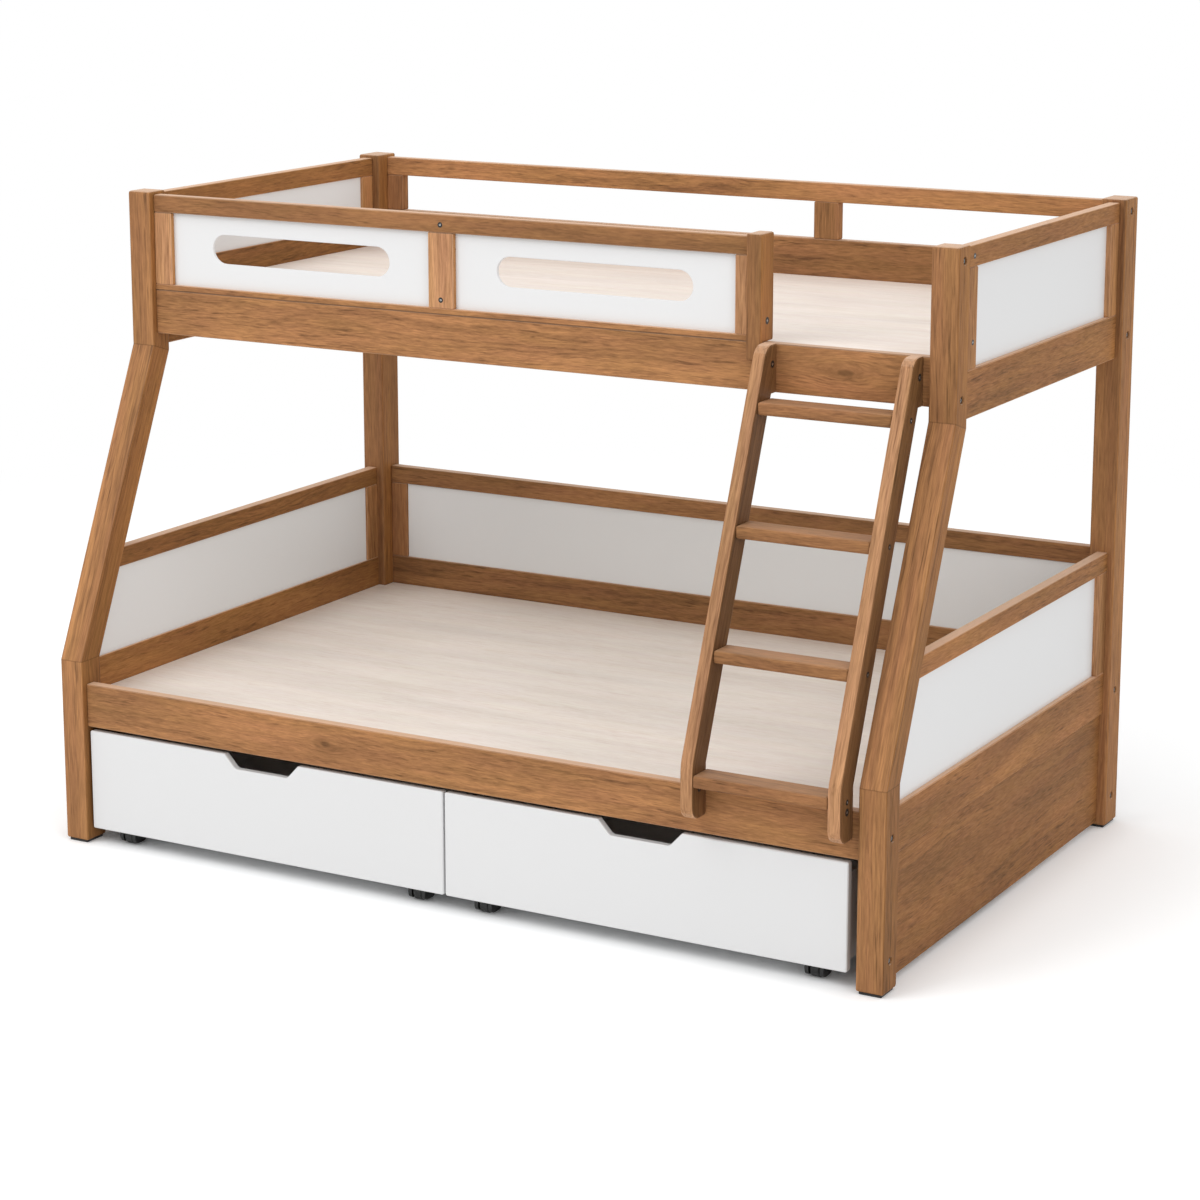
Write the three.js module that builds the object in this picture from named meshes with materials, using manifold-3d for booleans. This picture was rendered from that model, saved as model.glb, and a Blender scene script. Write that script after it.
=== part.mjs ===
// Bunk bed: a single bed over a wide bed. Bent front posts, slotted guard panels,
// a sloping ladder with four treads, and two under-bed drawers that roll on castors.
// Millimetres. +X runs along the bed to the right, +Y from the front to the back, +Z up.
import * as THREE from "three";
import { mergeVertices } from "three/addons/utils/BufferGeometryUtils.js";
import Module from "manifold-3d";

const wasm = await Module();
wasm.setup();

// Overall sizes
const BED_LENGTH = 1980;
const LOWER_BED_DEPTH = 1280;
const UPPER_BED_SETBACK = 290;
const POST_HEIGHT = 1415;

// Posts and their pads
const POST_WIDTH = 58;
const REAR_POST_DEPTH = 76;
const LOWER_POST_DEPTH = 66;
const UPPER_POST_DEPTH = 58;
const SLANT_THICKNESS = 60;
const KNEE_ABOVE_LIP = 9;
const KNEE_BELOW_SIDE_RAIL = 26;
const FOOT_HEIGHT = 6;
const FOOT_INSET = 5;

// Boards, and how they stand to the posts
const RAIL_THICKNESS = 26;
const RAIL_SETBACK = 14;
const TOP_RAIL_HEIGHT = 43;
const TOP_RAIL_DROP = 7;
const STILE_WIDTH = 46;
const LEDGE_HEIGHT = 25;
const LEDGE_WIDTH = 22;
const PANEL_THICKNESS = 8;
const PANEL_RECESS = 12;
const GROOVE_DEPTH = 6;
const SKIRT_THICKNESS = 16;
const SKIRT_RECESS = 6;
const SKIRT_FLOOR_GAP = 14;

// Lower bed
const LOWER_FRONT_RAIL_BOTTOM = 266;
const LOWER_FRONT_RAIL_HEIGHT = 96;
const LOWER_END_RAIL_BOTTOM = 266;
const LOWER_END_RAIL_HEIGHT = 96;
const LOWER_LIP_HEIGHT = 43;
const LOWER_GUARD_TOP = 635;
const LOWER_PLATFORM_DROP = 28;
const PLATFORM_THICKNESS = 14;
const PLATFORM_PLAY = 1;
const BEARER_HEIGHT = 54;
const BEARER_THICKNESS = 40;

// Upper bed
const UPPER_RAILS_BELOW_TOP = 315;
const UPPER_FRONT_RAIL_HEIGHT = 98;
const UPPER_REAR_RAIL_HEIGHT = 180;
const UPPER_END_RAIL_DROP = 32;
const UPPER_END_RAIL_HEIGHT = 96;
const UPPER_LIP_HEIGHT = 85;
const UPPER_FRONT_STILE_WIDTH = 72;
const UPPER_PLATFORM_DROP = 4;
const SILL_HEIGHT = 12;
const GUARD_RAIL_HEIGHT = 38;
const ENTRY_WIDTH = 362;
const GATE_POST_WIDTH = 34;
const GATE_POST_DEPTH = 58;
const GATE_POST_LAP = 36;
const GATE_NUT_RISE = 30;
const MIDDLE_STILE_WIDTH = 62;
const GUARD_RIGHT_STILE_WIDTH = 31;
const GUARD_MIDDLE_SHARE = 0.508;
const SLOT_LENGTH = 460;
const SLOT_HEIGHT = 64;
const SLOT_RISE = 6.5;
const SLOT_ROOM_SHARE = 0.9;
const REAR_STILE_SHARE = 0.64;

// Ladder
const TREAD_COUNT = 4;
const TREAD_THICKNESS = 26;
const TREAD_DEPTH = 60;
const STRINGER_WIDTH = 28;
const STRINGER_DEPTH = 58;
const LADDER_FOOT_DEPTH = 60;
const LADDER_HEAD_DEPTH = 84;
const LADDER_FOOT_LIFT = 40;
const LADDER_KNEE_RISE = 56;
const LADDER_HEAD_RISE = 2;
const LADDER_NUT_RISE = 62;
const LADDER_NUT_INSET = 20;
const LADDER_NUT_DROP = 38;
const LADDER_HEAD_RADIUS = 40;
const LADDER_FOOT_RADIUS = 34;
const LADDER_KNEE_RADIUS = 90;
const LADDER_GATE_GAP = 2;
const LADDER_POST_GAP = 16;
const LOWEST_TREAD_RISE = 39;
const HIGHEST_TREAD_GAP = 6;

// Drawers
const DRAWER_LEFT_GAP = 6;
const DRAWER_MIDDLE_GAP = 5;
const DRAWER_RIGHT_GAP = 25;
const DRAWER_FLOOR_GAP = 34;
const DRAWER_RAIL_GAP = 9;
const DRAWER_FRONT_THICKNESS = 18;
const DRAWER_CORNER_RADIUS = 4;
const TRAY_DEPTH = 720;
const TRAY_INSET = 12;
const TRAY_WALL = 14;
const TRAY_FLOOR = 10;
const TRAY_TOP_DROP = 32;
const NOTCH_TOP_WIDTH = 190;
const NOTCH_BOTTOM_WIDTH = 134;
const NOTCH_DEPTH = 30;
const NOTCH_RADIUS = 14;

// Castors
const WHEEL_RADIUS = 20;
const WHEEL_WIDTH = 22;
const WHEEL_TYRE_ROUND = 3;
const WHEEL_HUB_RADIUS = 9;
const WHEEL_DISH = 3;
const AXLE_RADIUS = 3;
const AXLE_REACH = 4;
const AXLE_CLEARANCE = 0.4;
const CASTOR_WIDTH = 42;
const CASTOR_LENGTH = 42;
const CASTOR_PLATE = 4;
const CASTOR_SIDE_GAP = 1;
const CASTOR_TOP_GAP = 2;
const CASTOR_FLOOR_GAP = 5;
const CASTOR_CORNER = 12;
const CASTOR_CHEEK_ROUND = 9;
const CASTOR_END_INSET = 79;
const CASTOR_FRONT_GAP = 2;
const CASTOR_BACK_INSET = 60;

// Holes for bolts, nuts and screws
const BOLT_HOLE_RADIUS = 9;
const BOLT_HOLE_DEPTH = 9;
const LOWEST_BOLT_RISE = 62;
const NUT_HOLE_RADIUS = 5;
const NUT_HOLE_DEPTH = 4;
const SCREW_HOLE_RADIUS = 4;
const SCREW_HOLE_DEPTH = 2;

// Edges, clearances and cuts
const EDGE = 2;
const POST_EDGE = 4;
const LADDER_EDGE = 4;
const SMALL_EDGE = 1;
const FIT = 0.3;
const OVERRUN = 5;
const ROUND_STEPS = 6;
const EDGE_STEPS = 2;
const CASTOR_STEPS = 3;
const ROUND_CORNER_SHARE = 1.25;
const WHEEL_STEPS = 16;
const HOLE_STEPS = 10;
const SCREW_STEPS = 8;

const oak = new THREE.MeshStandardMaterial({ color: 0xb08056, roughness: 0.55, metalness: 0 });
const white = new THREE.MeshStandardMaterial({ color: 0xf0f0f0, roughness: 0.35, metalness: 0 });
const plywood = new THREE.MeshStandardMaterial({ color: 0xe8dcd0, roughness: 0.6, metalness: 0 });
const black = new THREE.MeshStandardMaterial({ color: 0x1b1b1b, roughness: 0.5, metalness: 0 });

// Places that several pieces share
const railOuter = RAIL_SETBACK;
const railInner = RAIL_SETBACK + RAIL_THICKNESS;
const halfLength = BED_LENGTH / 2;
const halfBetweenPosts = halfLength - POST_WIDTH;
const betweenPosts = 2 * halfBetweenPosts;
const halfInside = halfLength - railInner;
const rearPostFront = LOWER_BED_DEPTH - REAR_POST_DEPTH;
const rearRailOuter = LOWER_BED_DEPTH - railOuter;
const rearRailInner = LOWER_BED_DEPTH - railInner;
const upperPostBack = UPPER_BED_SETBACK + UPPER_POST_DEPTH;
const upperRailOuter = UPPER_BED_SETBACK + railOuter;
const upperRailInner = UPPER_BED_SETBACK + railInner;

const lowerFrontRailTop = LOWER_FRONT_RAIL_BOTTOM + LOWER_FRONT_RAIL_HEIGHT;
const lowerEndRailTop = LOWER_END_RAIL_BOTTOM + LOWER_END_RAIL_HEIGHT;
const lowerLipTop = lowerEndRailTop + LOWER_LIP_HEIGHT;
const lowerPlatformTop = lowerFrontRailTop - LOWER_PLATFORM_DROP;
const lowerPlatformBottom = lowerPlatformTop - PLATFORM_THICKNESS;
const lowerGuardBottom = LOWER_GUARD_TOP - TOP_RAIL_HEIGHT;
const upperSideRailBottom = POST_HEIGHT - UPPER_RAILS_BELOW_TOP;
const upperEndRailBottom = upperSideRailBottom - UPPER_END_RAIL_DROP;
const upperFrontRailTop = upperSideRailBottom + UPPER_FRONT_RAIL_HEIGHT;
const upperRearRailTop = upperSideRailBottom + UPPER_REAR_RAIL_HEIGHT;
const upperEndRailTop = upperEndRailBottom + UPPER_END_RAIL_HEIGHT;
const upperLipTop = upperEndRailTop + UPPER_LIP_HEIGHT;
const upperPlatformTop = upperFrontRailTop - UPPER_PLATFORM_DROP;
const upperPlatformBottom = upperPlatformTop - PLATFORM_THICKNESS;
const upperGuardTop = POST_HEIGHT - TOP_RAIL_DROP;
const upperGuardBottom = upperGuardTop - TOP_RAIL_HEIGHT;
const sillTop = upperFrontRailTop + SILL_HEIGHT;
const guardRailBottom = upperGuardTop - GUARD_RAIL_HEIGHT;
const lowerKnee = lowerLipTop + KNEE_ABOVE_LIP;
const upperKnee = upperSideRailBottom - KNEE_BELOW_SIDE_RAIL;

// The bolts in the posts' outer faces stand at the middles of the end boards
const boltHeights = [
  { z: FOOT_HEIGHT + LOWEST_BOLT_RISE, upper: false },
  { z: (LOWER_END_RAIL_BOTTOM + lowerEndRailTop) / 2, upper: false },
  { z: (upperEndRailBottom + upperEndRailTop) / 2, upper: true },
  { z: (upperGuardBottom + upperGuardTop) / 2, upper: true },
];

const drawerGaps = DRAWER_LEFT_GAP + DRAWER_MIDDLE_GAP + DRAWER_RIGHT_GAP;
const drawerWidth = (betweenPosts - drawerGaps) / 2;

const gateRight = halfBetweenPosts - ENTRY_WIDTH;
const gateLeft = gateRight - GATE_POST_WIDTH;

// A closed geometry as a solid for joining and cutting, and back again
function solidOf(geometry) {
  const bare = geometry.index ? geometry.toNonIndexed() : geometry.clone();
  bare.deleteAttribute("normal");
  bare.deleteAttribute("uv");
  const merged = mergeVertices(bare);
  const corners = merged.index.array;
  const kept = [];
  for (let i = 0; i < corners.length; i += 3) {
    const [a, b, c] = [corners[i], corners[i + 1], corners[i + 2]];
    if (a !== b && b !== c && c !== a) kept.push(a, b, c);
  }
  return new wasm.Manifold(
    new wasm.Mesh({
      numProp: 3,
      vertProperties: merged.attributes.position.array,
      triVerts: new Uint32Array(kept),
    }),
  );
}

function geometryOf(solid) {
  const mesh = solid.getMesh();
  const geometry = new THREE.BufferGeometry();
  geometry.setAttribute("position", new THREE.BufferAttribute(mesh.vertProperties, mesh.numProp));
  geometry.setIndex(new THREE.BufferAttribute(mesh.triVerts, 1));
  const faceted = geometry.toNonIndexed();
  faceted.computeVertexNormals();
  return faceted;
}

// An outline from corners [u, v, radius, steps]. A corner without a radius is eased by the
// edge size, flat in one step or round in several, and a radius of 0 keeps it sharp.
function outline(corners, edge, edgeSteps) {
  const points = [];
  corners.forEach(([u, v, radius, arcSteps = ROUND_STEPS], i) => {
    const corner = new THREE.Vector2(u, v);
    const [pu, pv] = corners.at(i - 1);
    const [nu, nv] = corners[(i + 1) % corners.length];
    const toLast = new THREE.Vector2(pu, pv).sub(corner);
    const toNext = new THREE.Vector2(nu, nv).sub(corner);
    const room = Math.min(toLast.length(), toNext.length()) / 2;
    toLast.normalize();
    toNext.normalize();
    if (radius === 0 || (radius === undefined && !edge)) {
      points.push(corner);
      return;
    }
    const half = Math.acos(THREE.MathUtils.clamp(toLast.dot(toNext), -1, 1)) / 2;
    const eased = edgeSteps > 1 ? edge * ROUND_CORNER_SHARE : edge;
    const reach = Math.min((radius ?? eased) / Math.tan(half), room);
    const fitted = reach * Math.tan(half);
    const middle = toLast.clone().add(toNext).normalize();
    const centre = corner.clone().addScaledVector(middle, fitted / Math.sin(half));
    const start = corner.clone().addScaledVector(toLast, reach).sub(centre);
    const end = corner.clone().addScaledVector(toNext, reach).sub(centre);
    const turn = Math.atan2(start.cross(end), start.dot(end));
    const steps = radius === undefined ? edgeSteps : arcSteps;
    for (let k = 0; k <= steps; k++) {
      const spun = start.clone().rotateAround(new THREE.Vector2(), (turn * k) / steps);
      points.push(spun.add(centre));
    }
  });
  return points;
}

function rectangle(u0, u1, v0, v1, radius) {
  return [
    [u0, v0, radius],
    [u1, v0, radius],
    [u1, v1, radius],
    [u0, v1, radius],
  ];
}

// Directions of an outline's u and v and of its sweep, for each sweep axis
const axisX = new THREE.Vector3(1, 0, 0);
const axisY = new THREE.Vector3(0, 1, 0);
const axisZ = new THREE.Vector3(0, 0, 1);
const sweeps = {
  x: new THREE.Matrix4().makeBasis(axisY, axisZ, axisX),
  y: new THREE.Matrix4().makeBasis(axisX, axisZ, axisY.clone().negate()),
  z: new THREE.Matrix4().makeBasis(axisX, axisY, axisZ),
};

// A solid with one outline, swept along an axis, its end edges eased.
// Outlines are in (y, z) for a sweep along x, (x, z) along y and (x, y) along z.
function sweep(axis, corners, from, to, edge = EDGE, edgeSteps = 1, holes = []) {
  const shape = new THREE.Shape(outline(corners, edge, edgeSteps));
  holes.forEach((hole) => shape.holes.push(new THREE.Path(outline(hole, edge, edgeSteps))));
  const geometry = new THREE.ExtrudeGeometry(shape, {
    depth: to - from - 2 * edge,
    steps: 1,
    bevelEnabled: edge > 0,
    bevelThickness: edge,
    bevelSize: edge,
    bevelOffset: -edge,
    bevelSegments: edgeSteps,
  });
  geometry.translate(0, 0, (axis === "y" ? -to : from) + edge);
  return solidOf(geometry.applyMatrix4(sweeps[axis]));
}

// Boards that run along x, y or z, between two corners
function boardX(x0, x1, y0, y1, z0, z1, edge, edgeSteps) {
  return sweep("x", rectangle(y0, y1, z0, z1), x0, x1, edge, edgeSteps);
}

function boardY(x0, x1, y0, y1, z0, z1, edge, edgeSteps) {
  return sweep("y", rectangle(x0, x1, z0, z1), y0, y1, edge, edgeSteps);
}

function boardZ(x0, x1, y0, y1, z0, z1, edge, edgeSteps) {
  return sweep("z", rectangle(x0, x1, y0, y1), z0, z1, edge, edgeSteps);
}

function cylinderX(radius, x0, x1, y, z, steps) {
  const geometry = new THREE.CylinderGeometry(radius, radius, x1 - x0, steps);
  geometry.rotateZ(Math.PI / 2);
  geometry.translate((x0 + x1) / 2, y, z);
  return solidOf(geometry);
}

// A blind hole sunk from a face at x, towards the side that the sign gives
function sunkHole(radius, depth, face, inward, y, z, steps) {
  const mouth = face - inward * OVERRUN;
  const floor = face + inward * depth;
  return cylinderX(radius, Math.min(mouth, floor), Math.max(mouth, floor), y, z, steps);
}

function piece(parent, name, solid, material) {
  const mesh = new THREE.Mesh(geometryOf(solid), material);
  mesh.name = name;
  parent.add(mesh);
  return mesh;
}

// The back face of a bent front post at a height between its knees
const slantRun = UPPER_BED_SETBACK;
const slantRise = upperKnee - lowerKnee;
const slantRate = slantRun / slantRise;
const slantSpan = SLANT_THICKNESS * Math.hypot(1, slantRate);
const lowerBackKnee = lowerKnee + (LOWER_POST_DEPTH - slantSpan) / slantRate;
const upperBackKnee = lowerKnee + (upperPostBack - slantSpan) / slantRate;

function postBack(z) {
  if (z <= lowerBackKnee) return LOWER_POST_DEPTH;
  return Math.min(upperPostBack, LOWER_POST_DEPTH + (z - lowerBackKnee) * slantRate);
}

// End panels are drawn with a margin all round: the tongue that sits in the grooves,
// or the groove itself, which is one fit wider.
function lowerEndPanelOutline(margin) {
  const bottom = lowerEndRailTop - margin;
  const top = lowerGuardBottom + margin;
  const slide = margin * Math.hypot(1, slantRate);
  const kneeShift = slide - margin;
  return [
    [LOWER_POST_DEPTH - margin, bottom, 0],
    [rearPostFront - STILE_WIDTH + margin, bottom, 0],
    [rearPostFront - STILE_WIDTH + margin, top, 0],
    [postBack(top) - slide, top, 0],
    [LOWER_POST_DEPTH - margin, lowerBackKnee + kneeShift / slantRate, 0],
  ];
}

const panelOuter = railOuter + PANEL_RECESS;
const panelInner = panelOuter + PANEL_THICKNESS;
const lipOuter = panelInner + FIT;
const tongue = GROOVE_DEPTH - FIT;

// A panel swept between its faces, and the groove that takes its tongue
function framedPanel(axis, outlineAt, outer, inner) {
  return {
    panel: sweep(axis, outlineAt(tongue), outer, inner, SMALL_EDGE),
    groove: sweep(axis, outlineAt(GROOVE_DEPTH), outer - FIT, inner + FIT, 0),
  };
}

function panelBetween(u0, u1, v0, v1) {
  return (margin) => rectangle(u0 - margin, u1 + margin, v0 - margin, v1 + margin, 0);
}

// One end of the bed, drawn with x from the posts' outer faces inwards
function bedEnd(side) {
  const end = new THREE.Group();
  const name = (part) => side + "_" + part;
  const lower = framedPanel("x", lowerEndPanelOutline, panelOuter, panelInner);
  const upper = framedPanel(
    "x",
    panelBetween(
      upperPostBack + UPPER_FRONT_STILE_WIDTH,
      rearPostFront - STILE_WIDTH,
      upperEndRailTop,
      upperGuardBottom,
    ),
    panelOuter,
    panelInner,
  );

  const bent = [
    [0, FOOT_HEIGHT],
    [LOWER_POST_DEPTH, FOOT_HEIGHT],
    [LOWER_POST_DEPTH, lowerBackKnee, 0],
    [upperPostBack, upperBackKnee, 0],
    [upperPostBack, POST_HEIGHT],
    [UPPER_BED_SETBACK, POST_HEIGHT],
    [UPPER_BED_SETBACK, upperKnee, 0],
    [0, lowerKnee, 0],
  ];
  const bolted = (post, lowerMiddle, upperMiddle) =>
    boltHeights.reduce((cut, { z, upper }) => {
      const y = upper ? upperMiddle : lowerMiddle;
      const hole = sunkHole(BOLT_HOLE_RADIUS, BOLT_HOLE_DEPTH, 0, 1, y, z, HOLE_STEPS);
      return cut.subtract(hole);
    }, post);
  const frontPost = sweep("x", bent, 0, POST_WIDTH, POST_EDGE, EDGE_STEPS).subtract(lower.groove);
  const rearPost = boardZ(
    0,
    POST_WIDTH,
    rearPostFront,
    LOWER_BED_DEPTH,
    FOOT_HEIGHT,
    POST_HEIGHT,
    POST_EDGE,
    EDGE_STEPS,
  );
  const rearMiddle = (rearPostFront + LOWER_BED_DEPTH) / 2;
  const upperFrontMiddle = (UPPER_BED_SETBACK + upperPostBack) / 2;
  const frontHoled = bolted(frontPost, LOWER_POST_DEPTH / 2, upperFrontMiddle);
  piece(end, name("front_post"), frontHoled, oak);
  piece(end, name("rear_post"), bolted(rearPost, rearMiddle, rearMiddle), oak);

  const foot = (front, back) =>
    boardZ(
      FOOT_INSET,
      POST_WIDTH - FOOT_INSET,
      front + FOOT_INSET,
      back - FOOT_INSET,
      0,
      FOOT_HEIGHT,
      SMALL_EDGE,
    );
  piece(end, name("front_foot"), foot(0, LOWER_POST_DEPTH), black);
  piece(end, name("rear_foot"), foot(rearPostFront, LOWER_BED_DEPTH), black);

  const lowerRail = endRail(
    LOWER_POST_DEPTH,
    railInner,
    LOWER_END_RAIL_BOTTOM,
    lowerEndRailTop,
    lowerPlatformBottom,
    postBack(lowerLipTop),
    lowerLipTop,
  );
  piece(end, name("lower_end_rail"), lowerRail.subtract(lower.groove), oak);
  piece(end, name("lower_end_frame"), lowerEndFrame().subtract(lower.groove), oak);
  piece(end, name("lower_end_panel"), lower.panel, white);

  const skirt = boardY(
    railOuter + SKIRT_RECESS,
    railOuter + SKIRT_RECESS + SKIRT_THICKNESS,
    LOWER_POST_DEPTH,
    rearPostFront,
    SKIRT_FLOOR_GAP,
    LOWER_END_RAIL_BOTTOM,
    SMALL_EDGE,
  );
  piece(end, name("skirt_board"), skirt, oak);

  const upperRail = endRail(
    upperPostBack,
    upperRailInner,
    upperEndRailBottom,
    upperEndRailTop,
    upperPlatformBottom,
    upperPostBack,
    upperLipTop,
  );
  piece(end, name("upper_end_rail"), upperRail.subtract(upper.groove), oak);
  piece(end, name("upper_end_frame"), upperEndFrame().subtract(upper.groove), oak);
  piece(end, name("upper_end_panel"), upper.panel, white);
  return end;
}

// An end rail with the ledge that carries the platform's edge, which runs between
// the ledges of the long rails, and the thin lip that stands up behind the panel
function endRail(front, frontRailInner, bottom, top, ledgeTop, lipFront, lipTop) {
  const ledge = boardY(
    railInner - SMALL_EDGE,
    railInner + LEDGE_WIDTH,
    Math.max(front, frontRailInner + LEDGE_WIDTH),
    Math.min(rearPostFront, rearRailInner - LEDGE_WIDTH),
    ledgeTop - LEDGE_HEIGHT,
    ledgeTop,
    SMALL_EDGE,
  );
  const lip = boardY(
    lipOuter,
    railInner,
    lipFront,
    rearPostFront,
    ledgeTop - LEDGE_HEIGHT,
    lipTop,
    SMALL_EDGE,
  );
  return boardY(railOuter, railInner, front, rearPostFront, bottom, top).add(ledge).add(lip);
}

// What an end rail's lip takes off the feet of the stiles that stand on the rail
function lipRoom(front, bottom, top) {
  return boardY(
    lipOuter,
    railInner + OVERRUN,
    front - OVERRUN,
    rearPostFront + OVERRUN,
    bottom - OVERRUN,
    top,
    0,
  );
}

// The lower end's top rail, cut to the post's slope, with the stile against the rear post
function lowerEndFrame() {
  const clear = FIT * Math.hypot(1, slantRate);
  const rail = sweep(
    "x",
    [
      [postBack(lowerGuardBottom) + clear, lowerGuardBottom],
      [rearPostFront, lowerGuardBottom],
      [rearPostFront, LOWER_GUARD_TOP],
      [postBack(LOWER_GUARD_TOP) + clear, LOWER_GUARD_TOP],
    ],
    railOuter,
    railInner,
  );
  const stile = boardZ(
    railOuter,
    railInner,
    rearPostFront - STILE_WIDTH,
    rearPostFront,
    lowerEndRailTop,
    lowerGuardBottom + GROOVE_DEPTH,
  );
  return rail.add(stile).subtract(lipRoom(LOWER_POST_DEPTH, lowerEndRailTop, lowerLipTop));
}

// The upper end's top rail with a stile against each post
function upperEndFrame() {
  const stile = (front, back) =>
    boardZ(
      railOuter,
      railInner,
      front,
      back,
      upperEndRailTop,
      upperGuardBottom + GROOVE_DEPTH,
    );
  return boardY(railOuter, railInner, upperPostBack, rearPostFront, upperGuardBottom, upperGuardTop)
    .add(stile(upperPostBack, upperPostBack + UPPER_FRONT_STILE_WIDTH))
    .add(stile(rearPostFront - STILE_WIDTH, rearPostFront))
    .subtract(lipRoom(upperPostBack, upperEndRailTop, upperLipTop));
}

// A long rail between the posts with a ledge on the side that faces the bed
function longRail(outer, inner, bottom, top, ledgeTop) {
  const inward = Math.sign(inner - outer);
  const start = inner - inward * SMALL_EDGE;
  const reach = inner + inward * LEDGE_WIDTH;
  const ledge = boardX(
    -halfBetweenPosts,
    halfBetweenPosts,
    Math.min(start, reach),
    Math.max(start, reach),
    ledgeTop - LEDGE_HEIGHT,
    ledgeTop,
    SMALL_EDGE,
  );
  return boardX(
    -halfBetweenPosts,
    halfBetweenPosts,
    Math.min(outer, inner),
    Math.max(outer, inner),
    bottom,
    top,
  ).add(ledge);
}

// A platform sheet with its corners cut round the posts
function platform(front, frontPostBack, top) {
  const end = halfInside - PLATFORM_PLAY;
  const beside = halfBetweenPosts - PLATFORM_PLAY;
  const near = front + PLATFORM_PLAY;
  const far = rearRailInner - PLATFORM_PLAY;
  const nearNotch = frontPostBack + PLATFORM_PLAY;
  const farNotch = rearPostFront - PLATFORM_PLAY;
  const corners = [
    [-beside, near, 0],
    [beside, near, 0],
    [beside, nearNotch, 0],
    [end, nearNotch, 0],
    [end, farNotch, 0],
    [beside, farNotch, 0],
    [beside, far, 0],
    [-beside, far, 0],
    [-beside, farNotch, 0],
    [-end, farNotch, 0],
    [-end, nearNotch, 0],
    [-beside, nearNotch, 0],
  ];
  return sweep("z", corners, top - PLATFORM_THICKNESS, top, SMALL_EDGE);
}

// The beam along the middle of a platform, notched at its ends under the end ledges
function bearer(middle, top) {
  const ledgeEnd = halfInside - LEDGE_WIDTH;
  const notch = top - LEDGE_HEIGHT;
  const corners = [
    [-halfInside, top - BEARER_HEIGHT, 0],
    [halfInside, top - BEARER_HEIGHT, 0],
    [halfInside, notch, 0],
    [ledgeEnd, notch, 0],
    [ledgeEnd, top, 0],
    [-ledgeEnd, top, 0],
    [-ledgeEnd, notch, 0],
    [-halfInside, notch, 0],
  ];
  const half = BEARER_THICKNESS / 2;
  return sweep("y", corners, middle - half, middle + half, SMALL_EDGE);
}

// The lower bed's long pieces
function lowerBed() {
  const bed = new THREE.Group();
  const frontRail = longRail(
    railOuter,
    railInner,
    LOWER_FRONT_RAIL_BOTTOM,
    lowerFrontRailTop,
    lowerPlatformBottom,
  );
  piece(bed, "lower_front_rail", frontRail, oak);

  const back = framedPanel(
    "y",
    panelBetween(
      STILE_WIDTH - halfBetweenPosts,
      halfBetweenPosts - STILE_WIDTH,
      lowerLipTop,
      lowerGuardBottom,
    ),
    rearRailInner + RAIL_THICKNESS - PANEL_RECESS - PANEL_THICKNESS,
    rearRailInner + RAIL_THICKNESS - PANEL_RECESS,
  );
  const rearRail = longRail(
    rearRailOuter,
    rearRailInner,
    LOWER_END_RAIL_BOTTOM,
    lowerLipTop,
    lowerPlatformBottom,
  );
  piece(bed, "lower_rear_rail", rearRail.subtract(back.groove), oak);
  const frame = rearFrame(lowerLipTop, lowerGuardBottom, LOWER_GUARD_TOP, []);
  piece(bed, "lower_back_frame", frame.subtract(back.groove), oak);
  piece(bed, "lower_back_panel", back.panel, white);

  piece(bed, "lower_platform", platform(railInner, LOWER_POST_DEPTH, lowerPlatformTop), plywood);
  const middle = (railInner + rearRailInner) / 2;
  piece(bed, "lower_bearer", bearer(middle, lowerPlatformBottom), oak);
  return bed;
}

// A top rail between the rear posts with a stile at each end, and one at each named place
function rearFrame(stileBottom, railBottom, railTop, places) {
  const stile = (left, width) =>
    boardZ(left, left + width, rearRailInner, rearRailOuter, stileBottom, railBottom + GROOVE_DEPTH);
  let frame = boardX(
    -halfBetweenPosts,
    halfBetweenPosts,
    rearRailInner,
    rearRailOuter,
    railBottom,
    railTop,
  );
  frame = frame.add(stile(-halfBetweenPosts, STILE_WIDTH));
  frame = frame.add(stile(halfBetweenPosts - STILE_WIDTH, STILE_WIDTH));
  places.forEach((x) => {
    frame = frame.add(stile(x - MIDDLE_STILE_WIDTH / 2, MIDDLE_STILE_WIDTH));
  });
  return frame;
}

// The upper bed's long pieces, with the front guard and its gate post
function upperBed() {
  const bed = new THREE.Group();
  const frontRail = longRail(
    upperRailOuter,
    upperRailInner,
    upperSideRailBottom,
    upperFrontRailTop,
    upperPlatformBottom,
  );
  piece(bed, "upper_front_rail", frontRail, oak);
  const rearRail = longRail(
    rearRailOuter,
    rearRailInner,
    upperSideRailBottom,
    upperRearRailTop,
    upperPlatformBottom,
  );
  piece(bed, "upper_rear_rail", rearRail, oak);
  const rearStileAt = betweenPosts * REAR_STILE_SHARE - halfBetweenPosts;
  const rearGuard = rearFrame(upperRearRailTop, upperGuardBottom, upperGuardTop, [rearStileAt]);
  piece(bed, "rear_guard_frame", rearGuard, oak);
  frontGuard(bed);
  const sheet = platform(upperRailInner, upperPostBack, upperPlatformTop);
  piece(bed, "upper_platform", sheet, plywood);
  const middle = (upperRailInner + rearRailInner) / 2;
  piece(bed, "upper_bearer", bearer(middle, upperPlatformBottom), oak);
  return bed;
}

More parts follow.
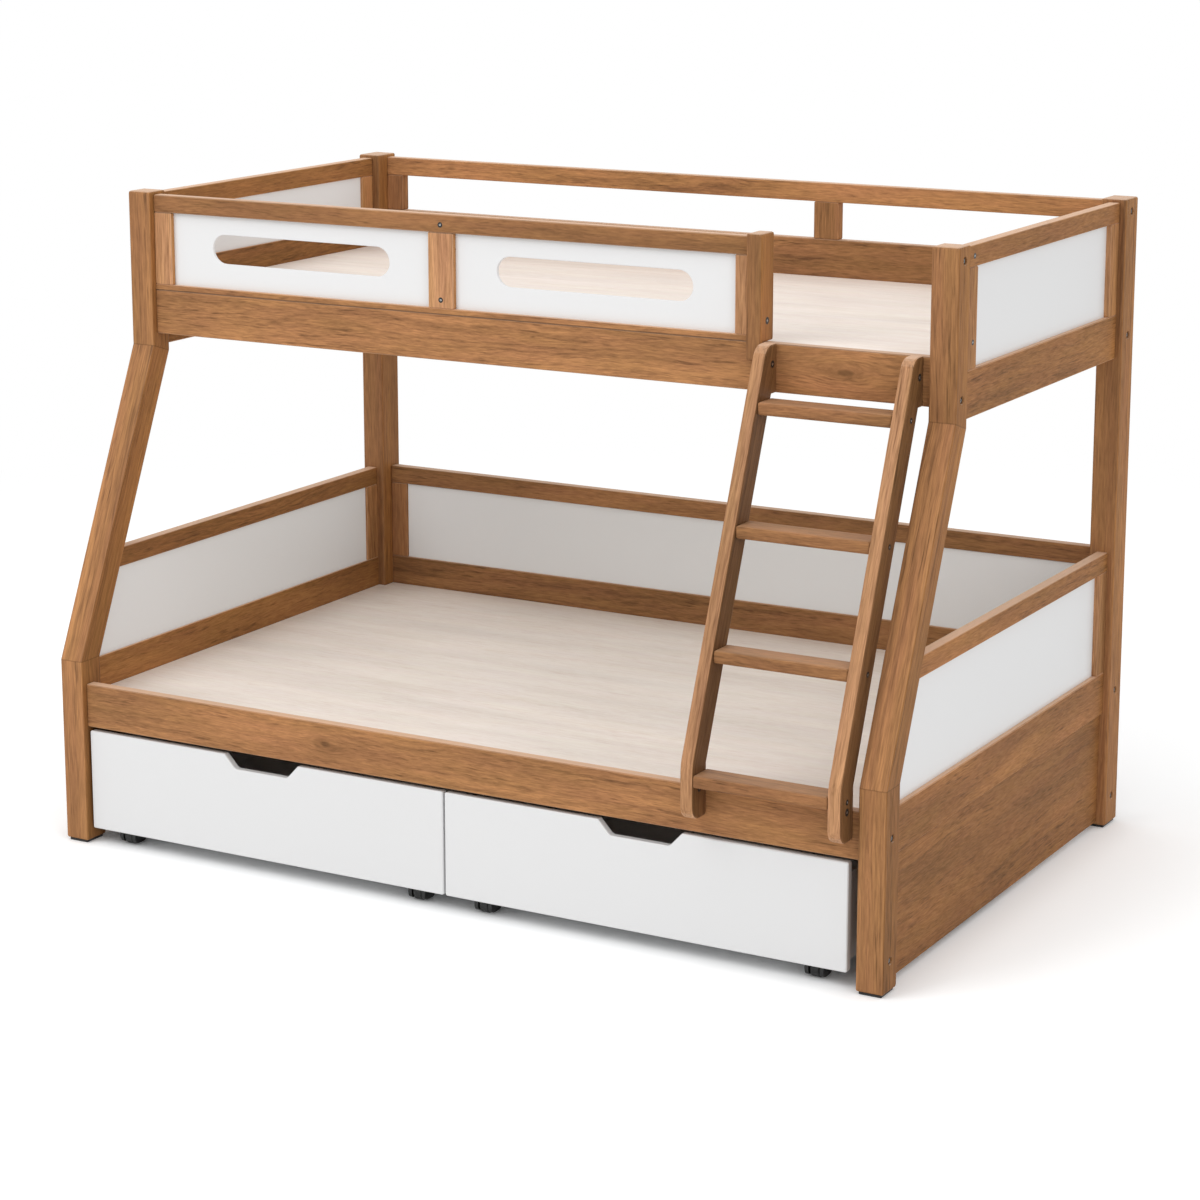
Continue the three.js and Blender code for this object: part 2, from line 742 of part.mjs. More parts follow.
function frontGuard(bed) {
  const guardLeft = -halfBetweenPosts;
  const guardSpan = gateLeft - guardLeft;
  const middleStile = guardLeft + guardSpan * GUARD_MIDDLE_SHARE;
  const stiles = [
    { name: "guard_left_stile", left: guardLeft, width: STILE_WIDTH },
    {
      name: "guard_middle_stile",
      left: middleStile - MIDDLE_STILE_WIDTH / 2,
      width: MIDDLE_STILE_WIDTH,
    },
    {
      name: "guard_right_stile",
      left: gateLeft - GUARD_RIGHT_STILE_WIDTH,
      width: GUARD_RIGHT_STILE_WIDTH,
    },
  ];
  const panelFront = upperRailOuter + PANEL_RECESS;
  const bays = ["guard_left_panel", "guard_right_panel"].map((name, i) => {
    const left = stiles[i].left + stiles[i].width;
    const right = stiles[i + 1].left;
    const bay = panelBetween(left, right, sillTop, guardRailBottom);
    const framed = framedPanel("y", bay, panelFront, panelFront + PANEL_THICKNESS);
    return { name, groove: framed.groove, panel: slottedPanel(bay, left, right, panelFront) };
  });
  const grooved = (solid) => bays.reduce((cut, bay) => cut.subtract(bay.groove), solid);

  bays.forEach((bay) => piece(bed, bay.name, bay.panel, white));
  stiles.forEach(({ name, left, width }) => {
    const stile = boardZ(
      left,
      left + width,
      upperRailOuter,
      upperRailInner,
      sillTop,
      guardRailBottom,
    );
    piece(bed, name, grooved(stile), oak);
  });
  const sill = boardX(
    guardLeft,
    gateLeft,
    upperRailOuter,
    upperRailInner,
    upperFrontRailTop,
    sillTop,
    SMALL_EDGE,
  );
  piece(bed, "guard_sill", grooved(sill), oak);
  const topRail = boardX(
    guardLeft,
    gateLeft,
    upperRailOuter,
    upperRailInner,
    guardRailBottom,
    upperGuardTop,
  );
  piece(bed, "guard_top_rail", grooved(topRail), oak);
  piece(bed, "gate_post", gatePost(), oak);
}

// A guard panel with a long round-ended hand slot
function slottedPanel(bay, left, right, front) {
  const middle = (left + right) / 2;
  const level = (sillTop + guardRailBottom) / 2 + SLOT_RISE;
  const half = Math.min(SLOT_LENGTH, (right - left) * SLOT_ROOM_SHARE) / 2;
  const rise = SLOT_HEIGHT / 2;
  const slot = rectangle(middle - half, middle + half, level - rise, level + rise, rise);
  return sweep("y", bay(tongue), front, front + PANEL_THICKNESS, SMALL_EDGE, 1, [slot]);
}

// The short post at the entry, lapped over the front of the side rail and standing on it
function gatePost() {
  const lapBottom = upperFrontRailTop - GATE_POST_LAP;
  const back = UPPER_BED_SETBACK + GATE_POST_DEPTH;
  const post = sweep(
    "x",
    [
      [UPPER_BED_SETBACK, lapBottom],
      [upperRailOuter, lapBottom, 0],
      [upperRailOuter, upperFrontRailTop, 0],
      [back, upperFrontRailTop],
      [back, POST_HEIGHT],
      [UPPER_BED_SETBACK, POST_HEIGHT],
    ],
    gateLeft,
    gateRight,
    POST_EDGE,
    EDGE_STEPS,
  );
  const middle = (UPPER_BED_SETBACK + back) / 2;
  const level = sillTop + GATE_NUT_RISE;
  return post.subtract(
    sunkHole(NUT_HOLE_RADIUS, NUT_HOLE_DEPTH, gateRight, -1, middle, level, HOLE_STEPS),
  );
}

// The ladder leans from the lower rail's face to the upper rail's face
function ladder() {
  const frame = new THREE.Group();
  const footBack = railOuter;
  const footFront = footBack - LADDER_FOOT_DEPTH;
  const headBack = upperRailOuter;
  const knee = lowerFrontRailTop + LADDER_KNEE_RISE;
  const rise = upperSideRailBottom - knee;
  const rate = (headBack - LADDER_HEAD_DEPTH - footFront) / rise;
  const frontAt = (z) => footFront + Math.max(0, z - knee) * rate;
  const span = STRINGER_DEPTH * Math.hypot(1, rate);
  const bottom = LOWER_FRONT_RAIL_BOTTOM + LADDER_FOOT_LIFT;
  const top = upperFrontRailTop + LADDER_HEAD_RISE;
  const backKnee = knee + (footBack - footFront - span) / rate;
  const stringer = [
    [footFront, bottom, LADDER_FOOT_RADIUS],
    [footBack, bottom],
    [footBack, backKnee, 0],
    [frontAt(upperSideRailBottom) + span, upperSideRailBottom, 0],
    [headBack, upperSideRailBottom],
    [headBack, top],
    [frontAt(top), top, LADDER_HEAD_RADIUS],
    [footFront, knee, LADDER_KNEE_RADIUS],
  ];
  const clearWidth = ENTRY_WIDTH - LADDER_GATE_GAP - LADDER_POST_GAP - 2 * STRINGER_WIDTH;
  const lowest = lowerFrontRailTop + LOWEST_TREAD_RISE;
  const highest = upperSideRailBottom - HIGHEST_TREAD_GAP;
  const levels = [];
  for (let i = 0; i < TREAD_COUNT; i++) {
    levels.push(lowest + ((highest - lowest) * i) / (TREAD_COUNT - 1));
  }
  const nuts = [
    [footFront + LADDER_FOOT_DEPTH / 2, bottom + LADDER_NUT_RISE],
    [headBack - LADDER_NUT_INSET, upperFrontRailTop - LADDER_NUT_DROP],
  ];
  const screws = levels.map((level) => [
    frontAt(level) + TREAD_DEPTH / 2,
    level - TREAD_THICKNESS / 2,
  ]);
  // Nuts show on both sides of a stringer, and the treads' screws on its outer side
  const holed = (outer, inward) => {
    let side = sweep("x", stringer, 0, STRINGER_WIDTH, LADDER_EDGE, EDGE_STEPS);
    const inner = STRINGER_WIDTH - outer;
    nuts.forEach(([y, z]) => {
      const hole = (face, into) =>
        sunkHole(NUT_HOLE_RADIUS, NUT_HOLE_DEPTH, face, into, y, z, HOLE_STEPS);
      side = side.subtract(hole(outer, inward)).subtract(hole(inner, -inward));
    });
    screws.forEach(([y, z]) => {
      const hole = sunkHole(SCREW_HOLE_RADIUS, SCREW_HOLE_DEPTH, outer, inward, y, z, SCREW_STEPS);
      side = side.subtract(hole);
    });
    return side;
  };
  piece(frame, "ladder_left_stringer", holed(0, 1), oak);
  const right = piece(frame, "ladder_right_stringer", holed(STRINGER_WIDTH, -1), oak);
  right.position.x = STRINGER_WIDTH + clearWidth;

  const tread = boardX(
    0,
    clearWidth,
    0,
    TREAD_DEPTH,
    -TREAD_THICKNESS,
    0,
    LADDER_EDGE,
    EDGE_STEPS,
  );
  levels.forEach((level, i) => {
    const step = piece(frame, "ladder_tread_" + (i + 1), tread, oak);
    step.position.set(STRINGER_WIDTH, frontAt(level), level);
  });
  frame.position.x = gateRight + LADDER_GATE_GAP;
  return frame;
}

// A wheel with a rounded tyre, dished sides and stub axles, turning about x
function wheelSolid() {
  const half = WHEEL_WIDTH / 2;
  const stub = half + AXLE_REACH;
  const profile = [
    [0, -stub],
    [AXLE_RADIUS, -stub],
    [AXLE_RADIUS, -half],
    [WHEEL_HUB_RADIUS, -half],
    [WHEEL_HUB_RADIUS + WHEEL_DISH, WHEEL_DISH - half],
    [WHEEL_RADIUS - WHEEL_TYRE_ROUND - WHEEL_DISH, WHEEL_DISH - half],
    [WHEEL_RADIUS - WHEEL_TYRE_ROUND, -half],
    [WHEEL_RADIUS, WHEEL_TYRE_ROUND - half],
  ];
  const mirrored = profile.map(([r, w]) => [r, -w]).reverse();
  const points = [...profile, ...mirrored].map(([r, w]) => new THREE.Vector2(r, w));
  const geometry = new THREE.LatheGeometry(points, WHEEL_STEPS);
  geometry.rotateZ(-Math.PI / 2);
  return solidOf(geometry);
}

// A castor's fork: a block with rounded lower corners, opened for the wheel and its axle.
// It is drawn about the axle, and its plate runs a little into the tray's floor.
function forkSolid(plateTop) {
  const reach = CASTOR_LENGTH / 2;
  const bottom = CASTOR_FLOOR_GAP - WHEEL_RADIUS;
  const block = sweep(
    "x",
    [
      [-reach, bottom, CASTOR_CORNER, CASTOR_STEPS],
      [reach, bottom, CASTOR_CORNER, CASTOR_STEPS],
      [reach, plateTop, 0],
      [-reach, plateTop, 0],
    ],
    -CASTOR_WIDTH / 2,
    CASTOR_WIDTH / 2,
    SMALL_EDGE,
  );
  const cheeks = sweep(
    "y",
    [
      [-CASTOR_WIDTH / 2, bottom, CASTOR_CHEEK_ROUND, CASTOR_STEPS],
      [CASTOR_WIDTH / 2, bottom, CASTOR_CHEEK_ROUND, CASTOR_STEPS],
      [CASTOR_WIDTH / 2, plateTop, 0],
      [-CASTOR_WIDTH / 2, plateTop, 0],
    ],
    -reach,
    reach,
    SMALL_EDGE,
  );
  const opening = WHEEL_WIDTH / 2 + CASTOR_SIDE_GAP;
  const slot = boardX(
    -opening,
    opening,
    -reach - OVERRUN,
    reach + OVERRUN,
    bottom - OVERRUN,
    WHEEL_RADIUS + CASTOR_TOP_GAP,
    0,
  );
  const bore = WHEEL_WIDTH / 2 + AXLE_REACH + AXLE_CLEARANCE;
  const axleHole = cylinderX(AXLE_RADIUS + AXLE_CLEARANCE, -bore, bore, 0, 0, HOLE_STEPS);
  return block.intersect(cheeks).subtract(slot).subtract(axleHole);
}

// One drawer, drawn with x from its front's left edge, y from its front's face
function drawer(side) {
  const box = new THREE.Group();
  const frontTop = LOWER_FRONT_RAIL_BOTTOM - DRAWER_RAIL_GAP;
  const middle = drawerWidth / 2;
  const notchBottom = frontTop - NOTCH_DEPTH;
  const front = [
    [0, DRAWER_FLOOR_GAP, DRAWER_CORNER_RADIUS],
    [drawerWidth, DRAWER_FLOOR_GAP, DRAWER_CORNER_RADIUS],
    [drawerWidth, frontTop, DRAWER_CORNER_RADIUS],
    [middle + NOTCH_TOP_WIDTH / 2, frontTop],
    [middle + NOTCH_BOTTOM_WIDTH / 2, notchBottom, NOTCH_RADIUS],
    [middle - NOTCH_BOTTOM_WIDTH / 2, notchBottom, NOTCH_RADIUS],
    [middle - NOTCH_TOP_WIDTH / 2, frontTop],
    [0, frontTop, DRAWER_CORNER_RADIUS],
  ];
  piece(box, side + "_drawer_front", sweep("y", front, 0, DRAWER_FRONT_THICKNESS), white);

  const floorBottom = 2 * WHEEL_RADIUS + CASTOR_TOP_GAP + CASTOR_PLATE;
  const trayTop = frontTop - TRAY_TOP_DROP;
  const left = TRAY_INSET;
  const right = drawerWidth - TRAY_INSET;
  const near = DRAWER_FRONT_THICKNESS;
  const far = near + TRAY_DEPTH;
  const hollow = boardY(
    left + TRAY_WALL,
    right - TRAY_WALL,
    near - OVERRUN,
    far - TRAY_WALL,
    floorBottom + TRAY_FLOOR,
    trayTop + OVERRUN,
    0,
  );
  let tray = boardY(left, right, near, far, floorBottom, trayTop, SMALL_EDGE).subtract(hollow);

  const fork = forkSolid(floorBottom + SMALL_EDGE - WHEEL_RADIUS);
  const wheel = wheelSolid();
  const across = [CASTOR_END_INSET, drawerWidth - CASTOR_END_INSET];
  const along = [near + CASTOR_FRONT_GAP + CASTOR_LENGTH / 2, far - CASTOR_BACK_INSET];
  let count = 0;
  along.forEach((y) => {
    across.forEach((x) => {
      tray = tray.add(fork.translate([x, y, WHEEL_RADIUS]));
      count += 1;
      const roller = piece(box, side + "_drawer_wheel_" + count, wheel, black);
      roller.position.set(x, y, WHEEL_RADIUS);
    });
  });
  piece(box, side + "_drawer_tray", tray, white);
  return box;
}

// The whole bed, its origin on the floor under the middle of its outline
const bunkBed = new THREE.Group();
const leftEnd = bedEnd("left");
leftEnd.position.x = -halfLength;
const rightEnd = bedEnd("right");
rightEnd.position.x = halfLength;
rightEnd.scale.x = -1;
const leftDrawer = drawer("left");
leftDrawer.position.set(-halfBetweenPosts + DRAWER_LEFT_GAP, railOuter, 0);
const rightDrawer = drawer("right");
rightDrawer.position.set(leftDrawer.position.x + drawerWidth + DRAWER_MIDDLE_GAP, railOuter, 0);
bunkBed.add(leftEnd, rightEnd, lowerBed(), upperBed(), ladder(), leftDrawer, rightDrawer);
const frontReach = LADDER_FOOT_DEPTH - railOuter;
bunkBed.position.y = (frontReach - LOWER_BED_DEPTH) / 2;

export default bunkBed;
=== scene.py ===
import math

import bmesh
import bpy
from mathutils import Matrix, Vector


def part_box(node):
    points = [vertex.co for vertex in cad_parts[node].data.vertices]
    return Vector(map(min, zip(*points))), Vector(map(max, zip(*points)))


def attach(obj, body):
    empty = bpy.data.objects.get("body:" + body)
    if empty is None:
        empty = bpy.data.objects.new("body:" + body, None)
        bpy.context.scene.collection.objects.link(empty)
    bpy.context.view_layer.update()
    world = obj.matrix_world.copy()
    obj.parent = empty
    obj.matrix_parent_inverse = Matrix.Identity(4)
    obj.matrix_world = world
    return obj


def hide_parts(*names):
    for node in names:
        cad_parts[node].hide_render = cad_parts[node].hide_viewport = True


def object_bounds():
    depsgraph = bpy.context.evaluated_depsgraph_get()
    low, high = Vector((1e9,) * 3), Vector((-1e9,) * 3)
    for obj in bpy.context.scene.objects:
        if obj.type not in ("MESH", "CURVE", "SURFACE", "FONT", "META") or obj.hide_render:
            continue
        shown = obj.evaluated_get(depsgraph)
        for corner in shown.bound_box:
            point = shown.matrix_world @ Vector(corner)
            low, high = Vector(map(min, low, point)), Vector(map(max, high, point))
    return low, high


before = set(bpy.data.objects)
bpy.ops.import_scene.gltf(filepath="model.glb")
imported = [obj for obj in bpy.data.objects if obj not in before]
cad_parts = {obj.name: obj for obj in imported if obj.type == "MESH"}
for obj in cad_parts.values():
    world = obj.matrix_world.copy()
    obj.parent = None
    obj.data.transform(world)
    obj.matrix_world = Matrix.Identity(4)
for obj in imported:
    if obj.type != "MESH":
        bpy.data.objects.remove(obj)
cad_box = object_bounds()

# Dresses a bunk bed: stained oak boards, white lacquered panels and drawers, pale plywood
# platforms, black castors and steel fixings. Metres, +X to the right, +Y back, +Z up.
bl_info = {
    "name": "Bunk Bed Finish",
    "version": (1, 0, 0),
    "blender": (4, 5, 0),
    "location": "View3D > Sidebar > Bunk Bed",
    "description": "Boards, finishes, fixings and a studio for a bunk bed",
    "category": "Object",
}

SIDES = ("left", "right")
OUTWARD = {"left": -1, "right": 1}
DRAWERS = ("left_drawer", "right_drawer")
PHOTO_PIXELS = 1200


def low(node):
    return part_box(node)[0]


def high(node):
    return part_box(node)[1]


# Places that the frame gives
lower_front = low("lower_front_rail")
upper_front = low("upper_front_rail")
setback = upper_front.y - lower_front.y
post_outer = high("right_front_post").x
post_front = low("left_front_post").y
rear_post_front = low("left_rear_post").y
rear_post_back = high("left_rear_post").y


# Settings that the sidebar shows: a length with its default and limits, a power and a colour
def length(name, description, default, least, most):
    return bpy.props.FloatProperty(
        name=name,
        description=description,
        default=default,
        min=least,
        max=most,
        unit="LENGTH",
    )


def power(name, description, default):
    return bpy.props.FloatProperty(
        name=name,
        description=description,
        default=default,
        min=0.0,
        unit="POWER",
    )


def tint(name, description, default):
    return bpy.props.FloatVectorProperty(
        name=name,
        description=description,
        default=default,
        size=3,
        min=0.0,
        max=1.0,
        subtype="COLOR",
    )


class BoardSizes(bpy.types.PropertyGroup):
    """Sizes of the boards that the frame holds as one solid"""

    edge: length("Board edge", "Radius of the rounded edge of a rail or stile", 0.003, 0.0005, 0.008)
    rail_height: length("Top rail height", "Height of the guards' top rails", 0.043, 0.02, 0.09)
    stile_width: length("Stile width", "Width of the stiles beside the posts", 0.046, 0.02, 0.09)
    front_stile_width: length(
        "Front stile width", "Width of the upper ends' stiles beside the bent posts", 0.072, 0.02, 0.12
    )
    lip: length("Lip thickness", "Thickness of the end rails' lips behind the panels", 0.0057, 0.002, 0.02)
    # The joints' width is that of the painted shadow lines in the front guard's joints
    joint: length("Joint width", "Width of the dark joints in the front guard", 0.0026, 0.0005, 0.01)
    middle_stile_width: length(
        "Middle stile width", "Width of the stile between the rear guard's bays", 0.062, 0.02, 0.12
    )
    rear_stile_share: bpy.props.FloatProperty(
        name="Rear stile place",
        description="Where the rear guard's middle stile stands, as a share of its length",
        default=0.64,
        min=0.1,
        max=0.9,
        subtype="FACTOR",
    )
    knee_above: length(
        "Lower knee", "Height of the posts' lower bend above the lower end rails' lips", 0.009, 0.0, 0.2
    )
    knee_below: length(
        "Upper knee", "Depth of the posts' upper bend below the upper front rail", 0.026, 0.0, 0.2
    )
    ladder_knee: length(
        "Ladder knee", "Height of the stringers' bend above the lower front rail", 0.056, 0.0, 0.2
    )
    ladder_lean: bpy.props.FloatProperty(
        name="Ladder lean",
        description="How far the stringers lean back for each metre that they rise",
        default=0.39,
        min=0.0,
        max=1.0,
    )


class DrawerSizes(bpy.types.PropertyGroup):
    """Sizes of the trays and the castors behind the drawer fronts"""

    wall: length("Tray wall", "Thickness of the trays' walls", 0.014, 0.004, 0.03)
    floor: length("Tray floor", "Thickness of the trays' floors", 0.010, 0.003, 0.03)
    plate: length("Castor plate", "Thickness of the plate over a castor's wheel", 0.004, 0.001, 0.01)
    wheel_gap: length("Gap over the wheel", "Gap between a wheel and its plate", 0.002, 0.0005, 0.01)
    fork_size: length("Castor size", "Width and length of a castor's fork", 0.042, 0.02, 0.08)
    fork_opening: length("Fork opening", "Width between a fork's cheeks", 0.024, 0.01, 0.06)
    fork_corner: length("Fork corner", "Radius of a cheek's lower corners", 0.012, 0.002, 0.02)
    fork_edge: length("Fork edge", "Radius of a fork's edges", 0.0012, 0.0003, 0.004)


class FixingSizes(bpy.types.PropertyGroup):
    """Sizes and places of the bolts, nuts and screws"""

    bolt_radius: length("Bolt head radius", "Radius of the bolt heads in the posts", 0.0046, 0.002, 0.01)
    bolt_depth: length(
        "Bolt head depth", "How far the bolt heads lie below the posts' faces", 0.0024, 0.0, 0.008
    )
    # The black washers in the bolt holes and the black rings round the nuts and screws are painted shadow
    shadow_washer_radius: length(
        "Washer radius", "Radius of the dark washers round the bolt heads", 0.0086, 0.003, 0.012
    )
    shadow_washer_depth: length(
        "Washer depth", "How far the washers lie below the posts' faces", 0.0036, 0.0, 0.009
    )
    shadow_disc_thickness: length(
        "Washer thickness", "Thickness of the dark washers and rings", 0.001, 0.0, 0.003
    )
    nut_radius: length("Barrel nut radius", "Radius of the barrel nuts", 0.0058, 0.002, 0.01)
    screw_radius: length("Screw head radius", "Radius of the screw heads", 0.0044, 0.001, 0.01)
    screw_proud: length(
        "Head height", "How far the nuts and the screw heads stand out of a face", 0.0004, 0.0, 0.003
    )
    lowest_bolt: length("Lowest bolt", "Height of the posts' lowest bolts above the feet", 0.062, 0.0, 0.3)
    foot_nut: length("Ladder foot nut", "Height of the nuts above the ladder's foot", 0.062, 0.0, 0.2)
    foot_nut_back: length(
        "Ladder foot nut place", "How far the nuts lie behind the foot's front edge", 0.030, 0.0, 0.1
    )
    head_nut: length("Ladder head nut", "Depth of the nuts below the upper rail's top", 0.038, 0.0, 0.2)
    head_nut_front: length(
        "Ladder head nut place", "How far the nuts lie in front of the upper rail's face", 0.020, 0.0, 0.1
    )
    gate_nut: length("Gate nut", "Height of the gate post's nut above the guard's sill", 0.030, 0.0, 0.2)
    stile_screw: length(
        "Stile screw", "Height of the lower screw above the middle stile's foot", 0.018, 0.0, 0.1
    )
    end_screw: length(
        "End screw", "Height of the lower screws above the upper ends' front stiles' feet", 0.053, 0.0, 0.1
    )
    end_screw_back: length(
        "End screw place", "How far the upper ends' screws lie behind the bent posts", 0.052, 0.0, 0.1
    )


class Colours(bpy.types.PropertyGroup):
    """Colours of the finishes"""

    oak_light: tint("Oak, light", "Stained oak between the grain lines", (0.55, 0.262, 0.107))
    oak_dark: tint("Oak, dark", "Stained oak in the grain lines", (0.2, 0.093, 0.04))
    lacquer: tint("White lacquer", "The panels and the drawers", (0.80, 0.803, 0.806))
    plywood_light: tint("Plywood, light", "The platforms between their grain lines", (0.95, 0.868, 0.79))
    plywood_dark: tint("Plywood, dark", "The platforms in their grain lines", (0.79, 0.655, 0.565))
    black: tint("Black plastic", "The castors and the feet", (0.007, 0.007, 0.0065))
    steel: tint("Steel", "The bolts, nuts and screws", (0.62, 0.62, 0.61))


class StageSettings(bpy.types.PropertyGroup):
    """The studio: its lamps, its floor and its camera"""

    key_power: power("Key lamp", "Power of the large lamp above the front left", 98.0)
    fill_power: power("Fill lamp", "Power of the lamp at the front right", 67.0)
    top_power: power("Top lamp", "Power of the lamp over the bed", 36.0)
    between_power: power("Lamp between the beds", "Power of the soft lamp under the upper bed", 1.8)
    between_colour: tint(
        "Colour between the beds", "Colour of the lamp under the upper bed", (0.76, 0.95, 1.0)
    )
    sky: bpy.props.FloatProperty(
        name="Room light",
        description="Strength of the even light from all round",
        default=0.74,
        min=0.0,
        max=2.0,
    )
    floor_size: length("Floor size", "Side of the square floor", 240.0, 5.0, 1000.0)
    camera_place: bpy.props.FloatVectorProperty(
        name="Camera place",
        description="Where the camera stands",
        default=(3.282, -5.785, 2.185),
        size=3,
        subtype="TRANSLATION",
        unit="LENGTH",
    )
    camera_turn: bpy.props.FloatProperty(
        name="Camera turn",
        description="How far the camera is turned to the left of straight back",
        default=math.radians(29.41),
        subtype="ANGLE",
        unit="ROTATION",
    )
    camera_dip: bpy.props.FloatProperty(
        name="Camera dip",
        description="How far the camera looks down",
        default=math.radians(12.09),
        subtype="ANGLE",
        unit="ROTATION",
    )
    focal_pixels: bpy.props.FloatProperty(
        name="Focal length in pixels",
        description="Focal length of the view, in pixels of the 1200 pixel frame",
        default=3110.8,
        min=100.0,
    )
    axis_row: bpy.props.FloatProperty(
        name="Axis row",
        description="Row of the 1200 pixel frame that the camera's axis meets",
        default=500.0,
        min=0.0,
        max=1200.0,
    )


def settings(name):
    return getattr(bpy.context.scene, "bunk_bed_" + name)


# The patterns in a board's grain: how often each changes in a metre along and across the board,
# its detail, and for most the two values of its noise between which it grows to full strength
PATTERNS = {
    "sway": (1.7, 7.0, 1.0),
    "ripple": (16.0, 45.0, 1.0),
    "swell": (2.0, 8.0, 2.0),
    "figure": (1.3, 6.0, 1.0, 0.42, 0.62),
    "bands": (3.5, 38.0, 3.0, 0.3, 0.7),
    "streaks": (32.0, 330.0, 3.0, 0.3, 0.7),
    "veins": (17.0, 230.0, 2.0, 0.54, 0.7),
    "clusters": (4.0, 22.0, 2.0, 0.42, 0.62),
    "fibres": (22.0, 420.0, 2.0, 0.58, 0.76),
    "pores": (60.0, 1300.0, 1.0, 0.6, 0.72),
    "broad": (2.2, 12.0, 3.0, 0.3, 0.7),
    "redness": (5.0, 30.0, 2.0, 0.3, 0.7),
}

# How far lines sway and ripple, which way the growth rings lie, how far they swell, how many a
# metre holds, and the two values of their noise between which they grow to full strength
SWAY_REACH = (0.0, 0.03, 0.03)
RIPPLE_REACH = (0.0, 0.006, 0.006)
RING_DIRECTION = (0.0, 0.74, 0.67)
RING_SWELL = 0.05
RING_COUNT = 130.0
RING_SPAN = (0.4, 0.68)

# What each pattern adds to the share of dark grain, and what is taken off it
BAND_WEIGHT = 0.3
VEIN_WEIGHT = 0.5
FIBRE_WEIGHT = -0.3
GRAIN_BASE = 0.13

# How pores, knots with the knee lines and the painted joint shadows that come in with them,
# and end grain change a board's tone
PORE_TONE = -0.3
KNOT_AND_JOINT_SHADOW_TONE = -0.5
END_TONE = -0.1

# How far each board's place in the pattern lies from the next one's
BOARD_SHIFT = (7.3, 3.1, 5.7)


# Shader trees
class Tree:
    """Adds and links the nodes of one shader tree"""

    def __init__(self, tree):
        self.tree = tree

    def feed(self, socket, value):
        if isinstance(value, bpy.types.NodeSocket):
            self.tree.links.new(value, socket)
        else:
            socket.default_value = value

    def add(self, kind, inputs=None, **options):
        node = self.tree.nodes.new(kind)
        for key, value in options.items():
            setattr(node, key, value)
        for key, value in (inputs or {}).items():
            self.feed(node.inputs[key], value)
        return node

    def maths(self, operation, *values, clamp=False):
        inputs = dict(enumerate(values))
        node = self.add("ShaderNodeMath", inputs, operation=operation, use_clamp=clamp)
        return node.outputs[0]

    def vector(self, operation, *values, out="Vector"):
        node = self.add("ShaderNodeVectorMath", dict(enumerate(values)), operation=operation)
        return node.outputs[out]

    def scaled(self, vector, factor):
        inputs = {"Vector": vector, "Scale": factor}
        return self.add("ShaderNodeVectorMath", inputs, operation="SCALE").outputs["Vector"]

    def join(self, x, y, z):
        return self.add("ShaderNodeCombineXYZ", {"X": x, "Y": y, "Z": z}).outputs[0]

    def split(self, vector):
        return self.add("ShaderNodeSeparateXYZ", {"Vector": vector}).outputs

    def span(self, value, low_in, high_in, low_out=0.0, high_out=1.0, smooth=False):
        kind = "SMOOTHSTEP" if smooth else "LINEAR"
        inputs = {
            "Value": value,
            "From Min": low_in,
            "From Max": high_in,
            "To Min": low_out,
            "To Max": high_out,
        }
        return self.add("ShaderNodeMapRange", inputs, interpolation_type=kind).outputs[0]

    def noise(self, vector, scale, detail=2.0, roughness=0.5, out="Fac"):
        inputs = {"Vector": vector, "Scale": scale, "Detail": detail, "Roughness": roughness}
        return self.add("ShaderNodeTexNoise", inputs).outputs[out]

    def mix(self, share, first, second, blend="MIX"):
        node = self.add("ShaderNodeMix", data_type="RGBA", blend_type=blend)
        self.feed(node.inputs[0], share)
        self.feed(node.inputs[6], first)
        self.feed(node.inputs[7], second)
        return node.outputs[2]

    def pattern(self, name, vector, roughness=0.5, out="Fac"):
        """The noise of one of the grain's patterns, drawn out along the vector's first part"""
        along, across, detail = PATTERNS[name][:3]
        drawn_out = self.vector("MULTIPLY", vector, (along, across, across))
        return self.noise(drawn_out, 1.0, detail, roughness, out)

    def grown(self, name, noise, least=0.0, most=1.0):
        """A pattern's noise spread over its own two values"""
        return self.span(noise, *PATTERNS[name][3:], least, most)

    def centred(self, noise, reach):
        """A noise's colour as a push to both sides"""
        return self.vector("MULTIPLY", self.vector("SUBTRACT", noise, (0.5, 0.5, 0.5)), reach)


def new_group(name, inputs, outputs):
    """An empty node group, its tree, its input sockets and its output node"""
    group = bpy.data.node_groups.new(name, "ShaderNodeTree")
    for label, kind, default in inputs:
        socket = group.interface.new_socket(name=label, in_out="INPUT", socket_type=kind)
        socket.default_value = default
    for label, kind in outputs:
        group.interface.new_socket(name=label, in_out="OUTPUT", socket_type=kind)
    tree = Tree(group)
    given = tree.add("NodeGroupInput").outputs
    result = tree.add("NodeGroupOutput")
    return group, tree, given, result


FLOAT = "NodeSocketFloat"
VECTOR = "NodeSocketVector"
COLOUR = "NodeSocketColor"


def rgba(colour, shade=1.0):
    return tuple(channel * shade for channel in colour) + (1.0,)


